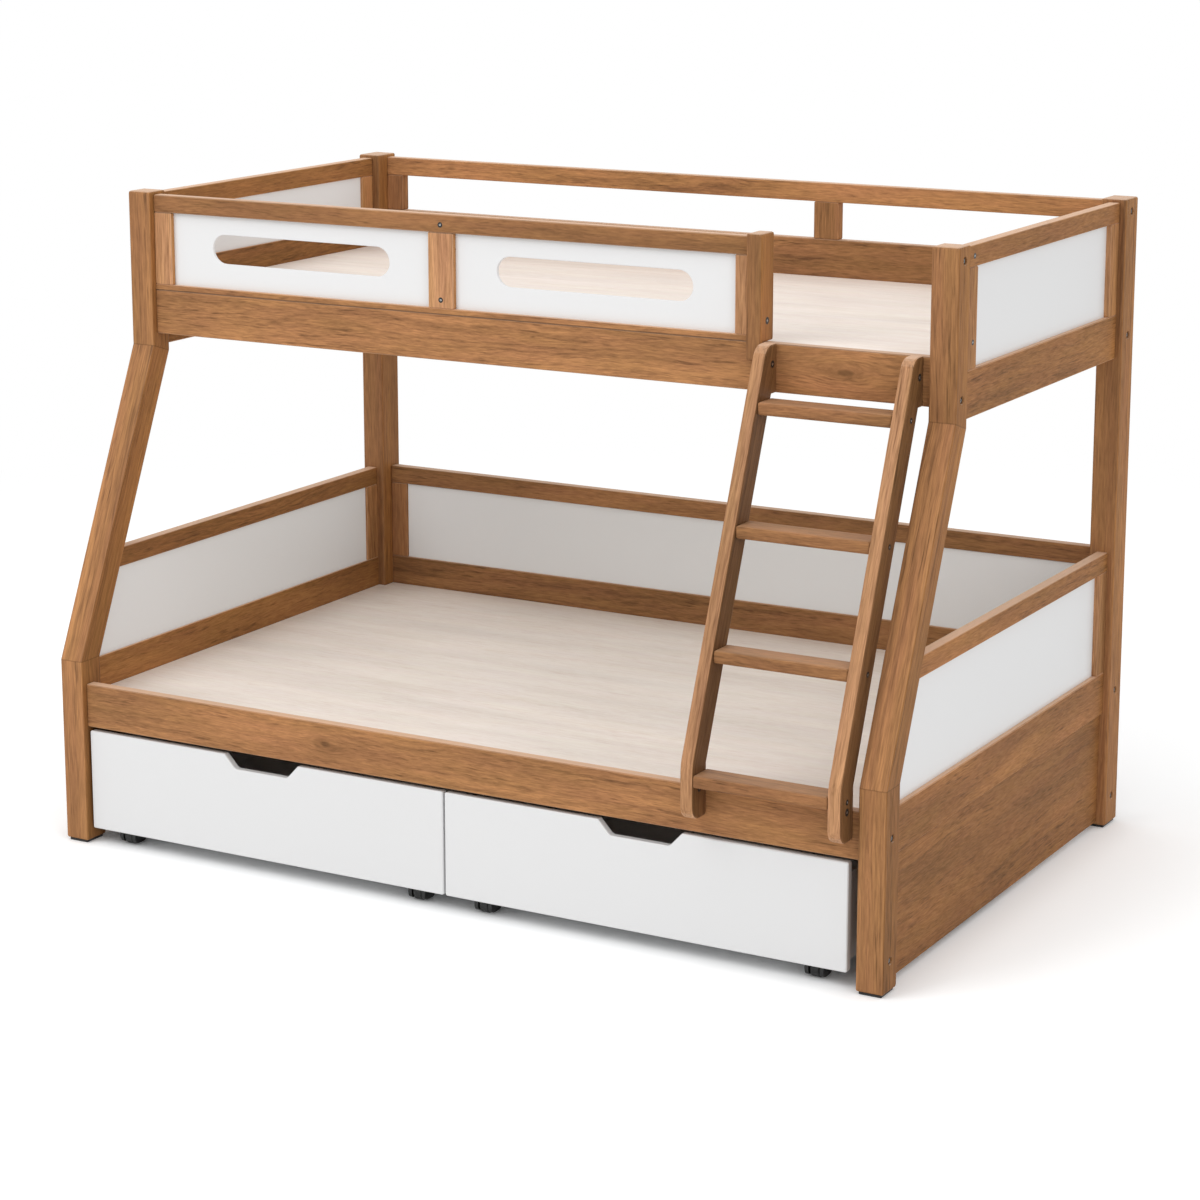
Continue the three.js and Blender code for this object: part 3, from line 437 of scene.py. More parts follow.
def board_grain():
    """Grain of a board that runs along the first axis of its Along vector"""
    group, t, given, result = new_group(
        "Board Grain",
        [
            ("Along", VECTOR, (0.0, 0.0, 0.0)),
            ("Shift", VECTOR, (0.0, 0.0, 0.0)),
            ("Board", FLOAT, 0.0),
            ("Knot", FLOAT, 0.0),
            ("End", FLOAT, 0.0),
            ("Light", COLOUR, (0.5, 0.3, 0.15, 1.0)),
            ("Dark", COLOUR, (0.2, 0.1, 0.04, 1.0)),
            ("Figure", FLOAT, 0.5),
            ("Streaks", FLOAT, 0.5),
            ("Pores", FLOAT, 0.5),
            ("Broad", FLOAT, 1.0),
            # How far painted light on tops and painted highlights on edges turn the colour to pale oak
            ("Pale", FLOAT, 0.0),
        ],
        [("Color", COLOUR), ("Roughness", FLOAT), ("Height", FLOAT)],
    )
    place = t.vector("ADD", given["Along"], t.scaled(BOARD_SHIFT, given["Board"]))
    sway = t.centred(t.pattern("sway", place, out="Color"), SWAY_REACH)
    ripple = t.centred(t.pattern("ripple", place, out="Color"), RIPPLE_REACH)
    lines = t.vector("ADD", t.vector("ADD", place, sway), t.vector("ADD", ripple, given["Shift"]))

    # Growth rings, which show in parts of a board
    across = t.vector("DOT_PRODUCT", lines, RING_DIRECTION, out="Value")
    swell = t.maths("MULTIPLY_ADD", t.pattern("swell", lines), RING_SWELL, across)
    inputs = {"W": t.maths("MULTIPLY", swell, RING_COUNT), "Scale": 1.0, "Detail": 2.0}
    rings = t.add("ShaderNodeTexNoise", inputs, noise_dimensions="1D").outputs["Fac"]
    shown = t.grown("figure", t.pattern("figure", place), 0.1, 1.0)
    rings = t.maths("MULTIPLY", t.span(rings, *RING_SPAN, smooth=True), shown)

    # Fine streaks, dark veins in clusters, pale fibres and pores
    streaks = t.pattern("streaks", lines, 0.6)
    clusters = t.grown("clusters", t.pattern("clusters", place), 0.15, 1.0)
    veins = t.maths("MULTIPLY", t.grown("veins", t.pattern("veins", lines)), clusters)
    pores = t.maths("MULTIPLY", t.grown("pores", t.pattern("pores", lines)), given["Pores"])

    share = t.maths("MULTIPLY", rings, given["Figure"])
    for mark, weight in (
        (t.grown("streaks", streaks), given["Streaks"]),
        (t.grown("bands", t.pattern("bands", lines)), BAND_WEIGHT),
        (veins, VEIN_WEIGHT),
        (t.grown("fibres", t.pattern("fibres", lines)), FIBRE_WEIGHT),
    ):
        share = t.maths("MULTIPLY_ADD", mark, weight, share)
    share = t.maths("SUBTRACT", share, GRAIN_BASE, clamp=True)
    colour = t.mix(share, given["Light"], given["Dark"])

    # Broad changes of tone, each board's own tone, and a slight drift of hue
    broad = t.grown("broad", t.pattern("broad", place), -0.2, 0.18)
    tone = t.maths("MULTIPLY_ADD", broad, given["Broad"], 1.0)
    tone = t.maths("MULTIPLY", tone, t.span(given["Board"], -0.4, 1.0, 0.84, 1.06))
    for mark, weight in ((pores, PORE_TONE), (given["Knot"], KNOT_AND_JOINT_SHADOW_TONE), (given["End"], END_TONE)):
        tone = t.maths("MULTIPLY", tone, t.maths("MULTIPLY_ADD", mark, weight, 1.0))
    redder = t.grown("redness", t.pattern("redness", place), -0.022, 0.03)
    redder = t.maths("MULTIPLY_ADD", redder, given["Broad"], 1.0)
    tones = t.join(tone, t.maths("DIVIDE", tone, redder), t.maths("MULTIPLY", tone, redder))
    colour = t.mix(1.0, colour, tones, "MULTIPLY")
    # Painted light on tops and painted highlights on edges
    colour = t.mix(given["Pale"], colour, rgba(PALE_OAK))
    height = t.maths("MULTIPLY_ADD", streaks, -0.4, t.maths("MULTIPLY", pores, -0.6))
    t.feed(result.inputs["Color"], colour)
    t.feed(result.inputs["Roughness"], t.grown("streaks", streaks, 0.46, 0.58))
    t.feed(result.inputs["Height"], height)
    return group


# A knot's width against its length, its uneven rim, how it pushes the grain aside and how that
# fades, and where its dark core and the ring round it end, as shares of its radius
KNOT_WIDTH = 0.42
KNOT_WAVES = 60.0
KNOT_WOBBLE = 0.006
KNOT_PUSH = -0.85
KNOT_FADE = -0.16
KNOT_CORE = (0.25, 1.0)
KNOT_RING = (1.0, 1.7)


def knot_effect():
    """A knot: how far it pushes the grain aside, and how dark it is"""
    group, t, given, result = new_group(
        "Knot",
        [
            ("Along", VECTOR, (0.0, 0.0, 0.0)),
            ("Centre", VECTOR, (0.0, 0.0, 0.0)),
            ("Radius", FLOAT, 0.01),
            ("Shift", VECTOR, (0.0, 0.0, 0.0)),
            ("Knot", FLOAT, 0.0),
        ],
        [("Shift", VECTOR), ("Knot", FLOAT)],
    )
    away = t.vector("SUBTRACT", given["Along"], given["Centre"])
    shaped = t.vector("MULTIPLY", away, (KNOT_WIDTH, 1.0, 1.0))
    wobble = t.centred(t.noise(given["Along"], KNOT_WAVES, 1.0, out="Color"), (KNOT_WOBBLE,) * 3)
    shaped = t.vector("ADD", shaped, wobble)
    distance = t.maths("DIVIDE", t.vector("LENGTH", shaped, out="Value"), given["Radius"])
    near = t.maths("MULTIPLY", distance, t.maths("MULTIPLY", distance, KNOT_FADE))
    near = t.maths("EXPONENT", near)
    push = t.scaled(t.vector("MULTIPLY", away, (0.0, KNOT_PUSH, KNOT_PUSH)), near)
    core = t.span(distance, *KNOT_CORE, 1.0, 0.0, smooth=True)
    ring = t.span(distance, *KNOT_RING, 0.32, 0.0, smooth=True)
    t.feed(result.inputs["Shift"], t.vector("ADD", given["Shift"], push))
    dark = t.maths("MAXIMUM", t.maths("MAXIMUM", core, ring), given["Knot"])
    t.feed(result.inputs["Knot"], dark)
    return group


def fine_texture():
    """The faint unevenness of a sprayed or moulded surface"""
    group, t, given, result = new_group(
        "Fine Texture",
        [("Place", VECTOR, (0.0, 0.0, 0.0)), ("Size", FLOAT, 0.002)],
        [("Tone", FLOAT), ("Height", FLOAT)],
    )
    scale = t.maths("DIVIDE", 1.0, given["Size"])
    grain = t.add("ShaderNodeTexNoise", {"Vector": given["Place"], "Scale": scale, "Detail": 2.0})
    clouds = t.noise(given["Place"], 3.0, 1.0)
    t.feed(result.inputs["Tone"], clouds)
    t.feed(result.inputs["Height"], grain.outputs["Fac"])
    return group


groups = {}


def make_groups():
    groups["grain"] = board_grain()
    groups["knot"] = knot_effect()
    groups["fine"] = fine_texture()


def new_material(name):
    """A material, its tree, its Principled BSDF and its texture coordinates"""
    material = bpy.data.materials.new(name)
    material.use_nodes = True
    tree = Tree(material.node_tree)
    shader = material.node_tree.nodes["Principled BSDF"]
    coordinates = tree.add("ShaderNodeTexCoord")
    return material, tree, shader, coordinates


def use(tree, group, **inputs):
    node = tree.add("ShaderNodeGroup", node_tree=groups[group])
    for key, value in inputs.items():
        tree.feed(node.inputs[key], value)
    return node


# The colour of pale oak, towards which the painted light on upper faces and the painted
# highlights on rounded edges turn, and towards which a wash lightens a stain
PALE_OAK = (0.84, 0.58, 0.41)

# How strongly the oak's grain shows, and how far it is stretched in the uprights
OAK_GRAIN = {"Figure": 0.3, "Streaks": 0.56, "Pores": 0.5}
UPRIGHT_STRETCH = 0.6

# Painted shade on the faces across X, low and high in the bed, the two heights between which it
# changes, and its tint; painted light on the tops, painted highlights on the rounded edges, and
# how oak shines
SIDE_PAINTED_SHADES = (0.64, 0.88)
SIDE_SHADE_LEVELS = (0.35, 1.0)
SIDE_SHADE_TINT = (1.07, 1.0, 0.8)
TOP_PAINTED_LIGHT = 0.64
EDGE_PAINTED_HIGHLIGHT = 0.16
OAK_GLOSS = 0.1

# Between which lengths of a normal's part a face comes to count as a side, a top or an end, and
# between which lengths of its largest part it stops being an edge
SIDE_FACING = (0.75, 0.95)
TOP_FACING = (0.8, 0.97)
END_FACING = (0.8, 0.95)
EDGE_FACING = (0.74, 0.86)

# Size of the fine finishes' grain, their tones, their roughness, and their bumps' strength and
# depth. The drawers' lacquer is a little darker than the panels', as painted shade, and smoother.
LACQUER_GRAIN = 0.0022
LACQUER_TONES = (0.995, 1.004)
LACQUER_SPREAD = 0.03
PANEL_ROUGHNESS = 0.36
DRAWER_ROUGHNESS = 0.3
DRAWER_PAINTED_SHADE = 0.965
PLASTIC_GRAIN = 0.0009
PLASTIC_TONES = (0.8, 1.3)
PLASTIC_ROUGHNESS = (0.38, 0.5)
STEEL_GRAIN = 0.0006
STEEL_TONES = (0.75, 1.15)
STEEL_SPAN = (0.3, 0.7)
STEEL_ROUGHNESS = (0.26, 0.42)
WOOD_BUMP = (0.35, 0.0006)
LACQUER_BUMP = (0.12, 0.0002)
PLASTIC_BUMP = (0.3, 0.0002)

# How a vector's parts are laid out so that the first one runs along the grain
ALONG = {"x": (0, 1, 2), "y": (1, 0, 2), "z": (2, 0, 1)}


def painted_face_light(t, normal, level, top_painted_light, low_shade, high_shade):
    """Painted shade on a face across X, painted light on a top face and a painted highlight on a rounded
    edge
    """
    across, deep, up = [t.maths("ABSOLUTE", part) for part in normal]
    side = t.span(level, *SIDE_SHADE_LEVELS, low_shade, high_shade)
    tinted_side_shade = t.join(*[t.maths("MULTIPLY", side, share) for share in SIDE_SHADE_TINT])
    tone = t.mix(t.span(across, *SIDE_FACING), (1.0, 1.0, 1.0, 1.0), tinted_side_shade)
    top = t.span(normal[2], *TOP_FACING, 0.0, top_painted_light)
    squarest = t.maths("MAXIMUM", t.maths("MAXIMUM", across, deep), up)
    edge = t.span(squarest, *EDGE_FACING, EDGE_PAINTED_HIGHLIGHT, 0.0)
    return tone, t.maths("MAXIMUM", top, edge)


def dress(t, shader, colour, roughness, height, bump):
    """Feeds a shader its colour, its roughness and a bump of some strength and depth"""
    inputs = {"Strength": bump[0], "Distance": bump[1], "Height": height}
    t.feed(shader.inputs["Base Color"], colour)
    t.feed(shader.inputs["Roughness"], roughness)
    t.feed(shader.inputs["Normal"], t.add("ShaderNodeBump", inputs).outputs["Normal"])


def grained(name, axis, light, dark, knots=(), bend=None, tones=None, **strengths):
    """A wood material with its grain along an axis, and its bump"""
    material, t, shader, coordinates = new_material(name)
    place = t.split(coordinates.outputs["Object"])
    normal = t.split(coordinates.outputs["Normal"])
    order = ALONG[axis]
    along = [place[i] for i in order]
    board = t.add("ShaderNodeObjectInfo").outputs["Random"]
    spot = 0.0
    # A bend may bring dark lines: painted joint shadows and the posts' knee lines
    if bend:
        along, board, spot = bend(t, place, board)
    if axis == "z":
        along[0] = t.maths("MULTIPLY", along[0], UPRIGHT_STRETCH)
    vector = t.join(*along)
    shift = (0.0, 0.0, 0.0)
    for centre, radius in knots:
        knot = use(t, "knot", Along=vector, Centre=centre, Radius=radius, Shift=shift, Knot=spot)
        shift = knot.outputs["Shift"]
        spot = knot.outputs["Knot"]
    grain = use(
        t,
        "grain",
        Along=vector,
        Shift=shift,
        Board=board,
        Knot=spot,
        End=t.span(t.maths("ABSOLUTE", normal[order[0]]), *END_FACING),
        Light=light,
        Dark=dark,
        **strengths,
    )
    colour = grain.outputs["Color"]
    # Painted shade on faces across X, painted light on tops and painted highlights on rounded edges, from
    # each face's normal and height
    if tones:
        tone, pale = painted_face_light(t, normal, place[2], *tones)
        colour = t.mix(1.0, colour, tone, "MULTIPLY")
        t.feed(grain.inputs["Pale"], pale)
        shader.inputs["Specular IOR Level"].default_value = OAK_GLOSS
    dress(t, shader, colour, grain.outputs["Roughness"], grain.outputs["Height"], WOOD_BUMP)
    return material


def oak(name, axis, knots=(), bend=None, shade=1.0, sides=SIDE_PAINTED_SHADES, top_painted_light=TOP_PAINTED_LIGHT, wash=0.0):
    """Stained oak, with a shade for the whole, painted shade or light for its sides, low and high in the
    bed, and painted light on its tops
    """
    colours = settings("colours")
    light = rgba(Vector(colours.oak_light).lerp(PALE_OAK, wash), shade)
    dark = rgba(colours.oak_dark, shade)
    return grained(name, axis, light, dark, knots, bend, (top_painted_light, *sides), **OAK_GRAIN)


# How much wider a painted joint shadow line is at its faded edge than at its dark middle
JOINT_FADE = 1.6


def painted_joint_shadow(level, back, half, axis):
    """A dark line of painted shadow in a joint along a level, in front of a depth, for a board that runs
    along an axis
    """

    def bend(t, place, board):
        away = t.maths("ABSOLUTE", t.maths("SUBTRACT", place[2], level))
        line = t.span(away, half, half * JOINT_FADE, 1.0, 0.0)
        front = t.maths("LESS_THAN", place[1], back)
        return [place[i] for i in ALONG[axis]], board, t.maths("MULTIPLY", line, front)

    return bend


# Half the width of the joint line at a post's knee, how much the two lines rise to the back, how
# dark they are, and how far the grain above each is from the grain below it
KNEE_LINE = 0.0008
KNEE_RISES = (0.015, -0.29)
KNEE_DARK = 0.55
KNEE_TURNS = (0.37, -1.1)


def bent_along(low_knee, high_knee, lean, post=True):
    """Coordinates that follow a piece which leans back between two knees, with a post's joints"""

    def bend(t, place, board):
        back = t.span(place[2], low_knee, high_knee, 0.0, (high_knee - low_knee) * lean)
        straight = t.maths("SUBTRACT", place[1], back)
        joint = 0.0
        if post:
            deep = t.maths("SUBTRACT", straight, post_front)
            for knee, rise, turn in zip((low_knee, high_knee), KNEE_RISES, KNEE_TURNS):
                seam = t.maths("MULTIPLY_ADD", deep, rise, knee)
                above = t.maths("SUBTRACT", place[2], seam)
                step = t.maths("GREATER_THAN", above, 0.0)
                board = t.maths("MULTIPLY_ADD", step, turn, board)
                line = t.span(t.maths("ABSOLUTE", above), KNEE_LINE, KNEE_LINE * 2, 1.0, 0.0)
                joint = t.maths("MAXIMUM", t.maths("MULTIPLY", line, KNEE_DARK), joint)
        return [place[2], place[0], straight], board, joint

    return bend


def even_finish(name, base, size, tones, roughness, bump):
    """A sprayed or moulded surface, with its grain's size and the spans of its tones and roughness"""
    material, t, shader, coordinates = new_material(name)
    fine = use(t, "fine", Place=coordinates.outputs["Object"], Size=size)
    colour = t.mix(fine.outputs["Tone"], *[rgba(base, tone) for tone in tones])
    rough = t.span(fine.outputs["Tone"], 0.0, 1.0, *roughness)
    dress(t, shader, colour, rough, fine.outputs["Height"], bump)
    return material


def white_lacquer(name, base, rough):
    roughness = (rough - LACQUER_SPREAD, rough + LACQUER_SPREAD)
    return even_finish(name, base, LACQUER_GRAIN, LACQUER_TONES, roughness, LACQUER_BUMP)


def black_plastic(name):
    base = settings("colours").black
    return even_finish(name, base, PLASTIC_GRAIN, PLASTIC_TONES, PLASTIC_ROUGHNESS, PLASTIC_BUMP)


def steel(name, shade=1.0):
    material, t, shader, coordinates = new_material(name)
    base = settings("colours").steel
    fine = use(t, "fine", Place=coordinates.outputs["Object"], Size=STEEL_GRAIN)
    height = fine.outputs["Height"]
    colour = t.mix(height, *[rgba(base, tone * shade) for tone in STEEL_TONES])
    t.feed(shader.inputs["Base Color"], colour)
    t.feed(shader.inputs["Roughness"], t.span(height, *STEEL_SPAN, *STEEL_ROUGHNESS))
    shader.inputs["Metallic"].default_value = 1.0
    return material


materials = {}


def knees():
    """Heights of the posts' two bends, and how far they lean back for each metre between"""
    sizes = settings("sizes")
    low_knee = high("left_lower_end_rail").z + sizes.knee_above
    high_knee = upper_front.z - sizes.knee_below
    return low_knee, high_knee, setback / (high_knee - low_knee)


def make_materials():
    """Every finish, by the name that the pieces use"""
    sizes = settings("sizes")
    colours = settings("colours")
    foot_knee = high("lower_front_rail").z + sizes.ladder_knee
    head = high("ladder_left_stringer").z
    knots_x = [
        ((0.75, upper_front.y, 1.152), 0.012),
        ((-0.02, rear_post_front, 1.385), 0.011),
        ((0.42, rear_post_front, 1.388), 0.010),
        ((-0.30, lower_front.y, 0.318), 0.010),
    ]
    guard_back = high("guard_sill").y
    # Painted shadow lines in the front guard's joints, at the sill's foot and the top rail's foot
    joint = painted_joint_shadow(low("guard_sill").z, guard_back, sizes.joint / 2, "x")
    stile_top = painted_joint_shadow(low("guard_top_rail").z, guard_back, sizes.joint / 2, "z")
    post_bend = bent_along(*knees())
    ladder_bend = bent_along(foot_knee, head, sizes.ladder_lean, post=False)
    plywood = [rgba(colours.plywood_light), rgba(colours.plywood_dark)]
    faint_grain = {"Figure": 0.12, "Streaks": 0.42, "Pores": 0.2, "Broad": 0.3}
    # The drawers' lacquer is a darker copy of the panels', painted shade for the drawers low in the bed
    drawer = [channel * DRAWER_PAINTED_SHADE for channel in colours.lacquer]
    materials.update(
        oak_x=oak("Oak along X", "x", knots_x, bend=joint),
        oak_rail=oak("Oak of the guard rail", "x", shade=0.7),
        oak_y=oak("Oak along Y", "y", sides=(0.66, 0.68)),
        oak_z=oak("Oak upright", "z", bend=stile_top, shade=1.06, sides=(0.66, 0.86), wash=0.14),
        # The treads are darkened all over as painted shade for their front faces, and their tops take
        # painted light
        oak_tread=oak("Oak of the treads", "x", shade=0.8, top_painted_light=0.14),
        # The gate post's faces across X take painted light over its darker front
        oak_gate=oak("Oak of the gate post", "z", shade=0.58, sides=(1.1, 1.2)),
        oak_post=oak("Oak of the bent posts", "z", bend=post_bend),
        # The stringers' faces across X take deep painted shade
        oak_stringer=oak(
            "Oak of the stringers", "z", bend=ladder_bend, shade=1.04, sides=(0.34, 0.4), wash=0.16
        ),
        # Darker copies of oak, painted shade for the boards at the back and under the platforms; the rear
        # posts' painted shade lies on their fronts, their sides kept lighter
        oak_rear_x=oak("Darker oak along X", "x", knots_x, shade=0.7),
        oak_back=oak("Oak of the rear guard", "x", knots_x, shade=0.92),
        oak_rear_z=oak("Darker oak, upright", "z", shade=0.78, sides=(0.95, 1.15)),
        plywood=grained("Whitewashed plywood", "x", *plywood, **faint_grain),
        lacquer=white_lacquer("White lacquer", colours.lacquer, PANEL_ROUGHNESS),
        drawer=white_lacquer("Drawer lacquer", drawer, DRAWER_ROUGHNESS),
        black=black_plastic("Black plastic"),
        steel=steel("Steel"),
        # A darker copy of the steel, painted shade for the bolt heads sunk in their holes
        bolt_steel=steel("Darker steel of the bolts", 0.4),
    )


def finish_nodes(material, *nodes):
    """Gives nodes of the frame their material"""
    for node in nodes:
        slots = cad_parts[node].data.materials
        slots.clear()
        slots.append(materials[material])


def face_x(node, way):
    """Where a node's left face, way -1, or its right face, way 1, lies on X"""
    return high(node).x if way > 0 else low(node).x


# Shares of a castor's and a fixing's own size
AXLE_PIN_SHARE = 0.2
RIM_SHARE = 0.16
SOCKET_SHARE = 0.5
DOME_SHARE = 0.3
DOME_POINTS = ((1.0, 1.0), (0.72, 0.3), (0.3, 0.0))
SLOT_SHARE = 0.3
SLOT_DEPTH_SHARE = 1.6
SHADOW_RING_SHARE = 1.3

# How far a slot is turned, for each metre of its height, so that the slots don't all lie alike
SLOT_TURN = 3.0

# How many sides the turned pieces have
CAP_SIDES = 20
BOLT_SIDES = 24
SCREW_SIDES = 20
SHADOW_WASHER_SIDES = 28
SHADOW_RING_SIDES = 24


# Meshes
def placed(name, data):
    """A new object in the scene"""
    item = bpy.data.objects.new(name, data)
    bpy.context.scene.collection.objects.link(item)
    return item


def new_piece(name, bm, body, material):
    """An object from a finished bmesh, riding on a body of the frame"""
    mesh = bpy.data.meshes.new(name)
    bmesh.ops.recalc_face_normals(bm, faces=bm.faces[:])
    bm.to_mesh(mesh)
    bm.free()
    mesh.materials.append(materials[material])
    for polygon in mesh.polygons:
        polygon.use_smooth = True
    piece = placed(name, mesh)
    weighted = piece.modifiers.new("Flat faces", "WEIGHTED_NORMAL")
    weighted.keep_sharp = True
    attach(piece, body)
    return piece


def swept(outline, axis, start, end, radius, segments=3):
    """A bmesh swept from an outline along an axis, with its edges rounded"""
    place = {
        "x": lambda u, v, w: (w, u, v),
        "y": lambda u, v, w: (u, w, v),
        "z": lambda u, v, w: (u, v, w),
    }[axis]
    bm = bmesh.new()
    loop = [bm.verts.new(place(u, v, start)) for u, v in outline]
    face = bm.faces.new(loop)
    grown = bmesh.ops.extrude_face_region(bm, geom=[face])
    moved = [v for v in grown["geom"] if isinstance(v, bmesh.types.BMVert)]
    bmesh.ops.translate(bm, verts=moved, vec=Vector(place(0, 0, end - start)))
    bmesh.ops.recalc_face_normals(bm, faces=bm.faces[:])
    bmesh.ops.bevel(
        bm,
        geom=bm.edges[:],
        offset=radius,
        segments=segments,
        profile=0.5,
        affect="EDGES",
        clamp_overlap=True,
    )
    return bm


def block(low_corner, high_corner, edge):
    (x0, y0, z0), (x1, y1, z1) = low_corner, high_corner
    return swept([(x0, y0), (x1, y0), (x1, y1), (x0, y1)], "z", z0, z1, edge)


def board(name, low_corner, high_corner, material, replaced=None):
    """An oak board between two corners, its grain along the axis that its material has"""
    bm = block(low_corner, high_corner, settings("sizes").edge)
    piece = new_piece(name, bm, "root", material)
    if replaced:
        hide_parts(replaced)
    return piece


def merged(parts):
    """One bmesh from several"""
    whole = bmesh.new()
    for part in parts:
        mesh = bpy.data.meshes.new("part")
        part.to_mesh(mesh)
        part.free()
        whole.from_mesh(mesh)
        bpy.data.meshes.remove(mesh)
    return whole


def turned(profile, steps, place, axis):
    """A bmesh turned about an axis through a place, from (radius, height) points"""
    bm = bmesh.new()
    facing = Vector(axis)
    side = facing.orthogonal().normalized()
    other = facing.cross(side)
    rings = []
    for radius, height in profile:
        ring = []
        for k in range(steps):
            angle = math.tau * k / steps
            spoke = side * math.cos(angle) + other * math.sin(angle)
            ring.append(bm.verts.new(Vector(place) + facing * height + spoke * radius))
        rings.append(ring)
    for first, second in zip(rings, rings[1:]):
        for k in range(steps):
            after = (k + 1) % steps
            bm.faces.new([first[k], first[after], second[after], second[k]])
    bm.faces.new(rings[0])
    bm.faces.new(rings[-1])
    return bm


class FrameOperator(bpy.types.Operator):
    """Shared by the operators that dress the bed"""

    bl_options = {"REGISTER"}


class BED_OT_finishes(FrameOperator):
    """Make the node groups and the materials of every finish"""

    bl_idname = "bunk_bed.finishes"
    bl_label = "Finishes"

    def execute(self, context):
        make_groups()
        make_materials()
        return {"FINISHED"}


class BED_OT_posts(FrameOperator):
    """Finish the posts and their feet"""

    bl_idname = "bunk_bed.posts"
    bl_label = "Posts and Feet"

    def execute(self, context):
        for side in SIDES:
            finish_nodes("oak_post", side + "_front_post")
            finish_nodes("oak_rear_z", side + "_rear_post")
            finish_nodes("black", side + "_front_foot", side + "_rear_foot")
        finish_nodes("oak_gate", "gate_post")
        return {"FINISHED"}


class BED_OT_rails(FrameOperator):
    """Finish the rails, the skirt boards, the bearers and the front guard's boards"""

    bl_idname = "bunk_bed.rails"
    bl_label = "Rails"

    def execute(self, context):
        for side in SIDES:
            finish_nodes("oak_y", side + "_lower_end_rail", side + "_upper_end_rail", side + "_skirt_board")
        finish_nodes("oak_x", "lower_front_rail", "upper_front_rail", "guard_sill")
        finish_nodes("oak_rail", "guard_top_rail")
        finish_nodes("oak_rear_x", "lower_rear_rail", "upper_rear_rail", "lower_bearer", "upper_bearer")
        finish_nodes("oak_z", "guard_left_stile", "guard_middle_stile", "guard_right_stile")
        return {"FINISHED"}


def framed(node, places, label, rail_material):
    """Boards for a frame across the back: a top rail with stiles at the given places"""
    sizes = settings("sizes")
    (x0, y0, z0), (x1, y1, z1) = low(node), high(node)
    rail_bottom = z1 - sizes.rail_height
    board(label + "_top_rail", (x0, y0, rail_bottom), (x1, y1, z1), rail_material, node)
    for name, left, width in places:
        board(label + "_" + name, (left, y0, z0), (left + width, y1, rail_bottom), "oak_rear_z")


class BED_OT_rear_guards(FrameOperator):
    """Make the boards of the lower back and of the upper rear guard"""

    bl_idname = "bunk_bed.rear_guards"
    bl_label = "Rear Guards"

    def execute(self, context):
        sizes = settings("sizes")
        left = low("lower_back_frame").x
        right = high("lower_back_frame").x
        ends = [
            ("left_stile", left, sizes.stile_width),
            ("right_stile", right - sizes.stile_width, sizes.stile_width),
        ]
        framed("lower_back_frame", ends, "lower_back", "oak_rear_x")
        width = sizes.middle_stile_width
        middle = left + (right - left) * sizes.rear_stile_share - width / 2
        places = ends + [("middle_stile", middle, width)]
        framed("rear_guard_frame", places, "rear_guard", "oak_back")
        return {"FINISHED"}


def stepped_stile(side, name, front, back, levels):
    """A stile of an end, cut away inside where the end rail's lip stands behind it"""
    sizes = settings("sizes")
    foot, lip_top, top = levels
    way = OUTWARD[side]
    outer = face_x(side + "_lower_end_frame", way)
    inner = face_x(side + "_lower_end_frame", -way)
    step = inner + way * sizes.lip
    outline = [(outer, foot), (step, foot), (step, lip_top), (inner, lip_top), (inner, top), (outer, top)]
    bm = swept(outline, "y", front, back, sizes.edge)
    return new_piece(side + name, bm, "root", "oak_z")


class BED_OT_end_guards(FrameOperator):
    """Make the boards of the guards at both ends of both beds"""

    bl_idname = "bunk_bed.end_guards"
    bl_label = "End Guards"

    def execute(self, context):
        sizes = settings("sizes")
        lean = knees()[2]
        for side in SIDES:
            node = side + "_lower_end_frame"
            (x0, y0, z0), (x1, y1, z1) = low(node), high(node)
            rail_bottom = z1 - sizes.rail_height
            sloped_top = (y0 + sizes.rail_height * lean, z1)
            outline = [(y0, rail_bottom), (y1, rail_bottom), (y1, z1), sloped_top]
            bm = swept(outline, "x", x0, x1, sizes.edge)
            rail = new_piece(side + "_lower_end_top_rail", bm, "root", "oak_y")
            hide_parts(node)
            levels = (z0, high(side + "_lower_end_rail").z, rail_bottom)
            stepped_stile(side, "_lower_end_stile", y1 - sizes.stile_width, y1, levels)

            node = side + "_upper_end_frame"
            (x0, y0, z0), (x1, y1, z1) = low(node), high(node)
            rail_bottom = z1 - sizes.rail_height
            rail = side + "_upper_end_top_rail"
            board(rail, (x0, y0, rail_bottom), (x1, y1, z1), "oak_y", node)
            levels = (z0, high(side + "_upper_end_rail").z, rail_bottom)
            stepped_stile(side, "_upper_end_front_stile", y0, y0 + sizes.front_stile_width, levels)
            stepped_stile(side, "_upper_end_rear_stile", y1 - sizes.stile_width, y1, levels)
        return {"FINISHED"}


class BED_OT_panels(FrameOperator):
    """Finish the white panels"""

    bl_idname = "bunk_bed.panels"
    bl_label = "Panels"

    def execute(self, context):
        finish_nodes("lacquer", "lower_back_panel", "guard_left_panel", "guard_right_panel")
        for side in SIDES:
            finish_nodes("lacquer", side + "_lower_end_panel", side + "_upper_end_panel")
        return {"FINISHED"}


class BED_OT_platforms(FrameOperator):
    """Finish the platforms"""

    bl_idname = "bunk_bed.platforms"
    bl_label = "Platforms"

    def execute(self, context):
        finish_nodes("plywood", "lower_platform", "upper_platform")
        return {"FINISHED"}


class BED_OT_ladder(FrameOperator):
    """Finish the ladder"""

    bl_idname = "bunk_bed.ladder"
    bl_label = "Ladder"

    def execute(self, context):
        finish_nodes("oak_stringer", "ladder_left_stringer", "ladder_right_stringer")
        finish_nodes("oak_tread", *[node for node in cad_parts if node.startswith("ladder_tread")])
        return {"FINISHED"}


